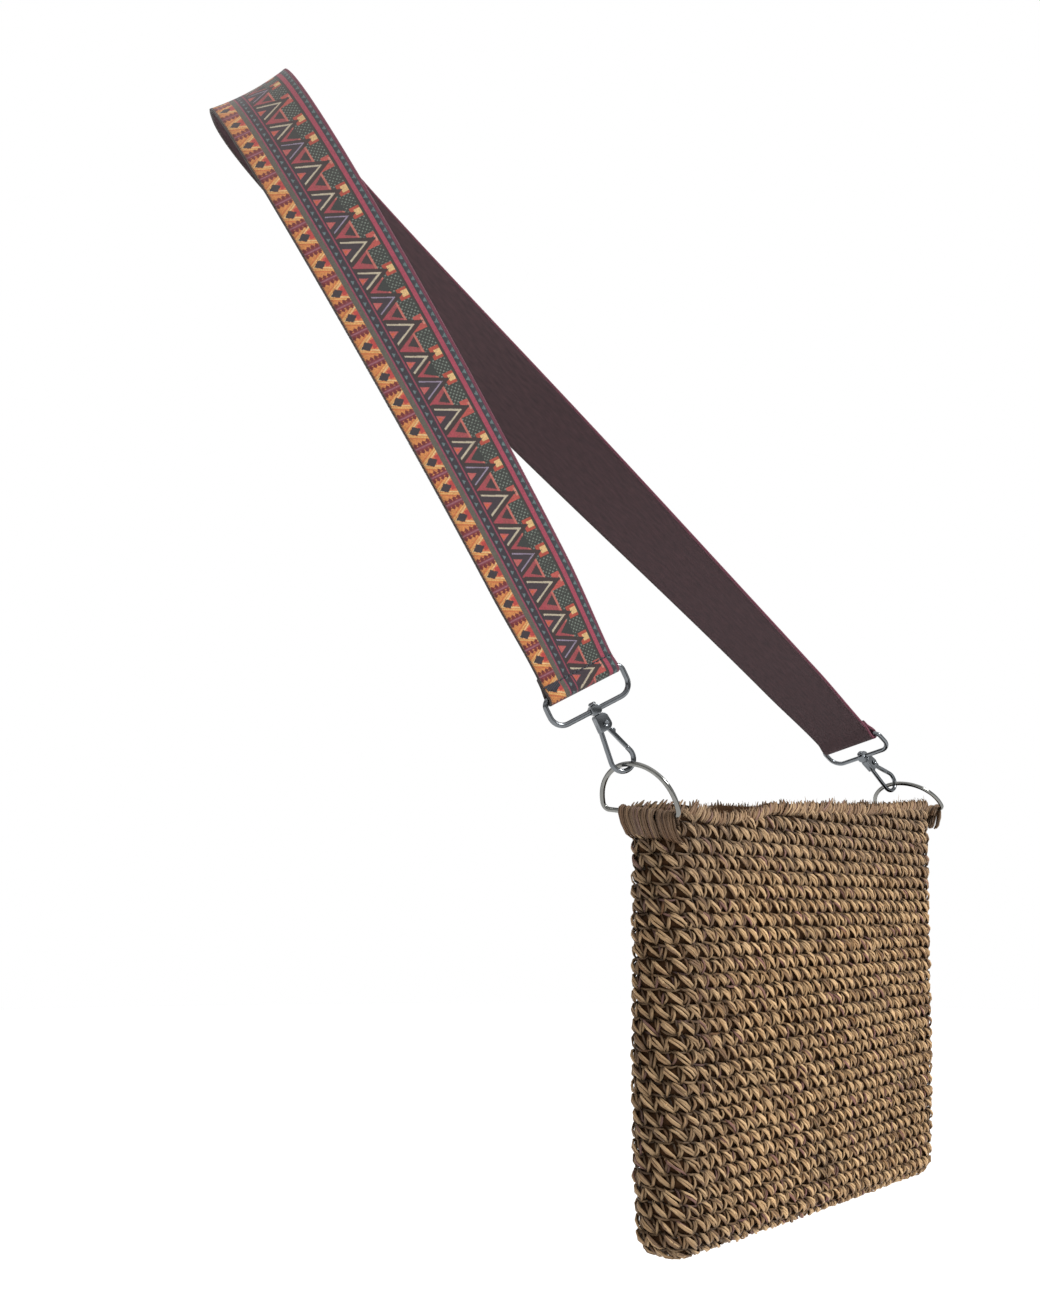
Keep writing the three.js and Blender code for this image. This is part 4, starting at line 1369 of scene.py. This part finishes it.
def turned(shapes, degrees_about_y=0.0, degrees_about_z=0.0, move=(0.0, 0.0, 0.0)):
    turn = Matrix.Rotation(math.radians(degrees_about_y), 3, "Y")
    turn = Matrix.Rotation(math.radians(degrees_about_z), 3, "Z") @ turn
    turn = np.array(turn)
    return [(points @ turn.T + np.array(move), faces) for points, faces in shapes]


def d_ring_shape():
    half = (D_RING_INSIDE + D_RING_WIRE) / 2
    straight = half - D_RING_CORNER
    path = arc(straight, D_RING_CORNER, D_RING_CORNER, -90, -10, 8)
    for angle in np.linspace(0, math.pi, 60):
        rise = (D_RING_HEIGHT - D_RING_CORNER) * math.sin(angle)
        path.append((half * math.cos(angle), 0.0, D_RING_CORNER + rise))
    path.extend(arc(-straight, D_RING_CORNER, D_RING_CORNER, -170, -90, 8))
    return wire(path, D_RING_WIRE, True)


def metal_pieces(gunmetal, nickel):
    metal_piece("d_ring_near_wire", [d_ring_shape()], near_ring, nickel, "d_ring_near")
    metal_piece("d_ring_far_wire", [d_ring_shape()], far_ring, nickel, "d_ring_far")
    metal_piece("oval_ring_near", oval_ring_shapes(), near_clasp, gunmetal, "strap_ring_near", bevel=0.5)
    hook = [wire(hook_path(), HOOK_WIRE, False), *block_shapes(), post_shape()]
    metal_piece("clasp_hook_near", hook, near_clasp, gunmetal, "hook_near", "hook", 0.35)
    gate = turned(gate_shapes(), -GATE_SLANT, 0.0, rivet_at)
    metal_piece("clasp_gate_near", gate, near_clasp, gunmetal, "gate_near", "gate", 0.3)
    rivet = turned([rivet_shape()], 0.0, 0.0, rivet_at)
    metal_piece("clasp_rivet_near", rivet, near_clasp, gunmetal, "gate_rivet_near", "hook")
    far_hook = turned([*hook, *gate, *rivet], 0.0, 90.0)
    metal_piece("clasp_far_whole", [*oval_ring_shapes(), *far_hook], far_clasp, gunmetal,
                "clasp_far", bevel=0.35)


# Scene


def add_floor():
    mesh = bpy.data.meshes.new("floor")
    angles = [2 * math.pi * i / FLOOR_POINTS for i in range(FLOOR_POINTS)]
    points = [(FLOOR_RADIUS * math.cos(angle), FLOOR_RADIUS * math.sin(angle), FLOOR_HEIGHT)
              for angle in angles]
    mesh.from_pydata(points, [], [tuple(range(FLOOR_POINTS))])
    floor = bpy.data.objects.new("floor", mesh)
    bpy.context.scene.collection.objects.link(floor)
    material, shader = new_material("floor_white", 0.9)
    shader.inputs["Base Color"].default_value = (0.93, 0.93, 0.93, 1)
    mesh.materials.append(material)


def sky(tree, height, stops, strength):
    """Light that changes with height; stops are pairs of height share and grey."""
    ramp = tree.nodes.new("ShaderNodeValToRGB")
    elements = ramp.color_ramp.elements
    while len(elements) < len(stops):
        elements.new(0.5)
    for element, (place, grey) in zip(elements, stops):
        element.position = place
        element.color = (grey, grey, grey, 1)
    tree.links.new(height.socket, ramp.inputs["Fac"])
    background = tree.nodes.new("ShaderNodeBackground")
    background.inputs["Strength"].default_value = strength
    tree.links.new(ramp.outputs["Color"], background.inputs["Color"])
    return background


def add_lights():
    world = bpy.data.worlds.new("studio")
    bpy.context.scene.world = world
    world.use_nodes = True
    tree = world.node_tree
    tree.nodes.clear()
    output = tree.nodes.new("ShaderNodeOutputWorld")
    mix = tree.nodes.new("ShaderNodeMixShader")
    rays = tree.nodes.new("ShaderNodeLightPath")
    seen = tree.nodes.new("ShaderNodeBackground")
    seen.inputs["Strength"].default_value = 1.0
    seen.inputs["Color"].default_value = (1, 1, 1, 1)
    direction = tree.nodes.new("ShaderNodeTexCoord")
    split = tree.nodes.new("ShaderNodeSeparateXYZ")
    tree.links.new(direction.outputs["Generated"], split.inputs[0])
    height = Number(split.outputs["Z"]) * 0.5 + 0.5
    soft = sky(tree, height, ((0.35, 0.32), (0.8, 1.0)), 0.85)
    bands = sky(tree, height, ((0.2, 0.5), (0.4, 0.1), (0.56, 0.12), (0.62, 0.95), (0.74, 0.3),
                               (0.8, 0.25), (0.88, 1.0)), 1.1)
    shiny = tree.nodes.new("ShaderNodeMixShader")
    tree.links.new(rays.outputs["Is Glossy Ray"], shiny.inputs[0])
    tree.links.new(soft.outputs[0], shiny.inputs[1])
    tree.links.new(bands.outputs[0], shiny.inputs[2])
    tree.links.new(rays.outputs["Is Camera Ray"], mix.inputs[0])
    tree.links.new(shiny.outputs[0], mix.inputs[1])
    tree.links.new(seen.outputs[0], mix.inputs[2])
    tree.links.new(mix.outputs[0], output.inputs["Surface"])
    sun = bpy.data.lights.new("key", "SUN")
    sun.energy = SUN_ENERGY
    sun.angle = math.radians(SUN_SPREAD)
    key = bpy.data.objects.new("key", sun)
    key.rotation_euler = Vector(SUN_DIRECTION).to_track_quat("-Z", "Y").to_euler()
    bpy.context.scene.collection.objects.link(key)


def add_camera():
    data = bpy.data.cameras.new("camera")
    data.sensor_fit = "AUTO"
    data.sensor_width = 36.0
    data.lens = FOCAL_PIXELS / IMAGE_HEIGHT * data.sensor_width
    data.shift_y = CAMERA_SHIFT
    data.clip_end = 100.0
    camera = bpy.data.objects.new("camera", data)
    camera.location = Vector(CAMERA_AT) * 0.001
    azimuth = math.radians(CAMERA_AZIMUTH)
    pitch = math.radians(CAMERA_PITCH)
    forward = Vector((-math.sin(azimuth) * math.cos(pitch), math.cos(azimuth) * math.cos(pitch),
                      math.sin(pitch)))
    camera.rotation_euler = forward.to_track_quat("-Z", "Y").to_euler()
    bpy.context.scene.collection.objects.link(camera)
    bpy.context.scene.camera = camera
    bpy.context.scene.view_settings.view_transform = "Standard"


raffia = raffia_material()
core_shade = core_shade_material()
gunmetal = metal_material("gunmetal", (98, 102, 106), (128, 131, 134), 0.2)
nickel = metal_material("nickel", (112, 112, 109), (144, 144, 140), 0.14)
dark_thread = thread_material("thread_dark", (20, 20, 30), (40, 38, 50))
black_edge = thread_material("edge_black", (26, 22, 22), (66, 52, 44))
crimson_edge = thread_material("edge_crimson", (128, 44, 66), (82, 40, 60))

add_camera()
bag_core(core_shade)
crochet(raffia)
edging(raffia)
fringe(raffia)
bar_wrap("raffia_loops_near", near_ring, "raffia_wrap_near", raffia)
bar_wrap("raffia_loops_far", far_ring, "raffia_wrap_far", raffia)

strap_line = strap_stations()
strap = strap_webbing(strap_material(), reverse_material(), strap_line)
strap_trims = [
    selvedge("selvedge_left", -1, black_edge, strap_line),
    selvedge("selvedge_right", 1, crimson_edge, strap_line),
    seam("seam_near", strap_line, SEAM_HEIGHT, dark_thread, True),
    seam("seam_far", strap_line, strap_line["along"][-1] - FAR_SEAM_REACH, dark_thread, False),
]
metal_pieces(gunmetal, nickel)
strap_length(strap_line) / 1000

add_floor()
add_lights()
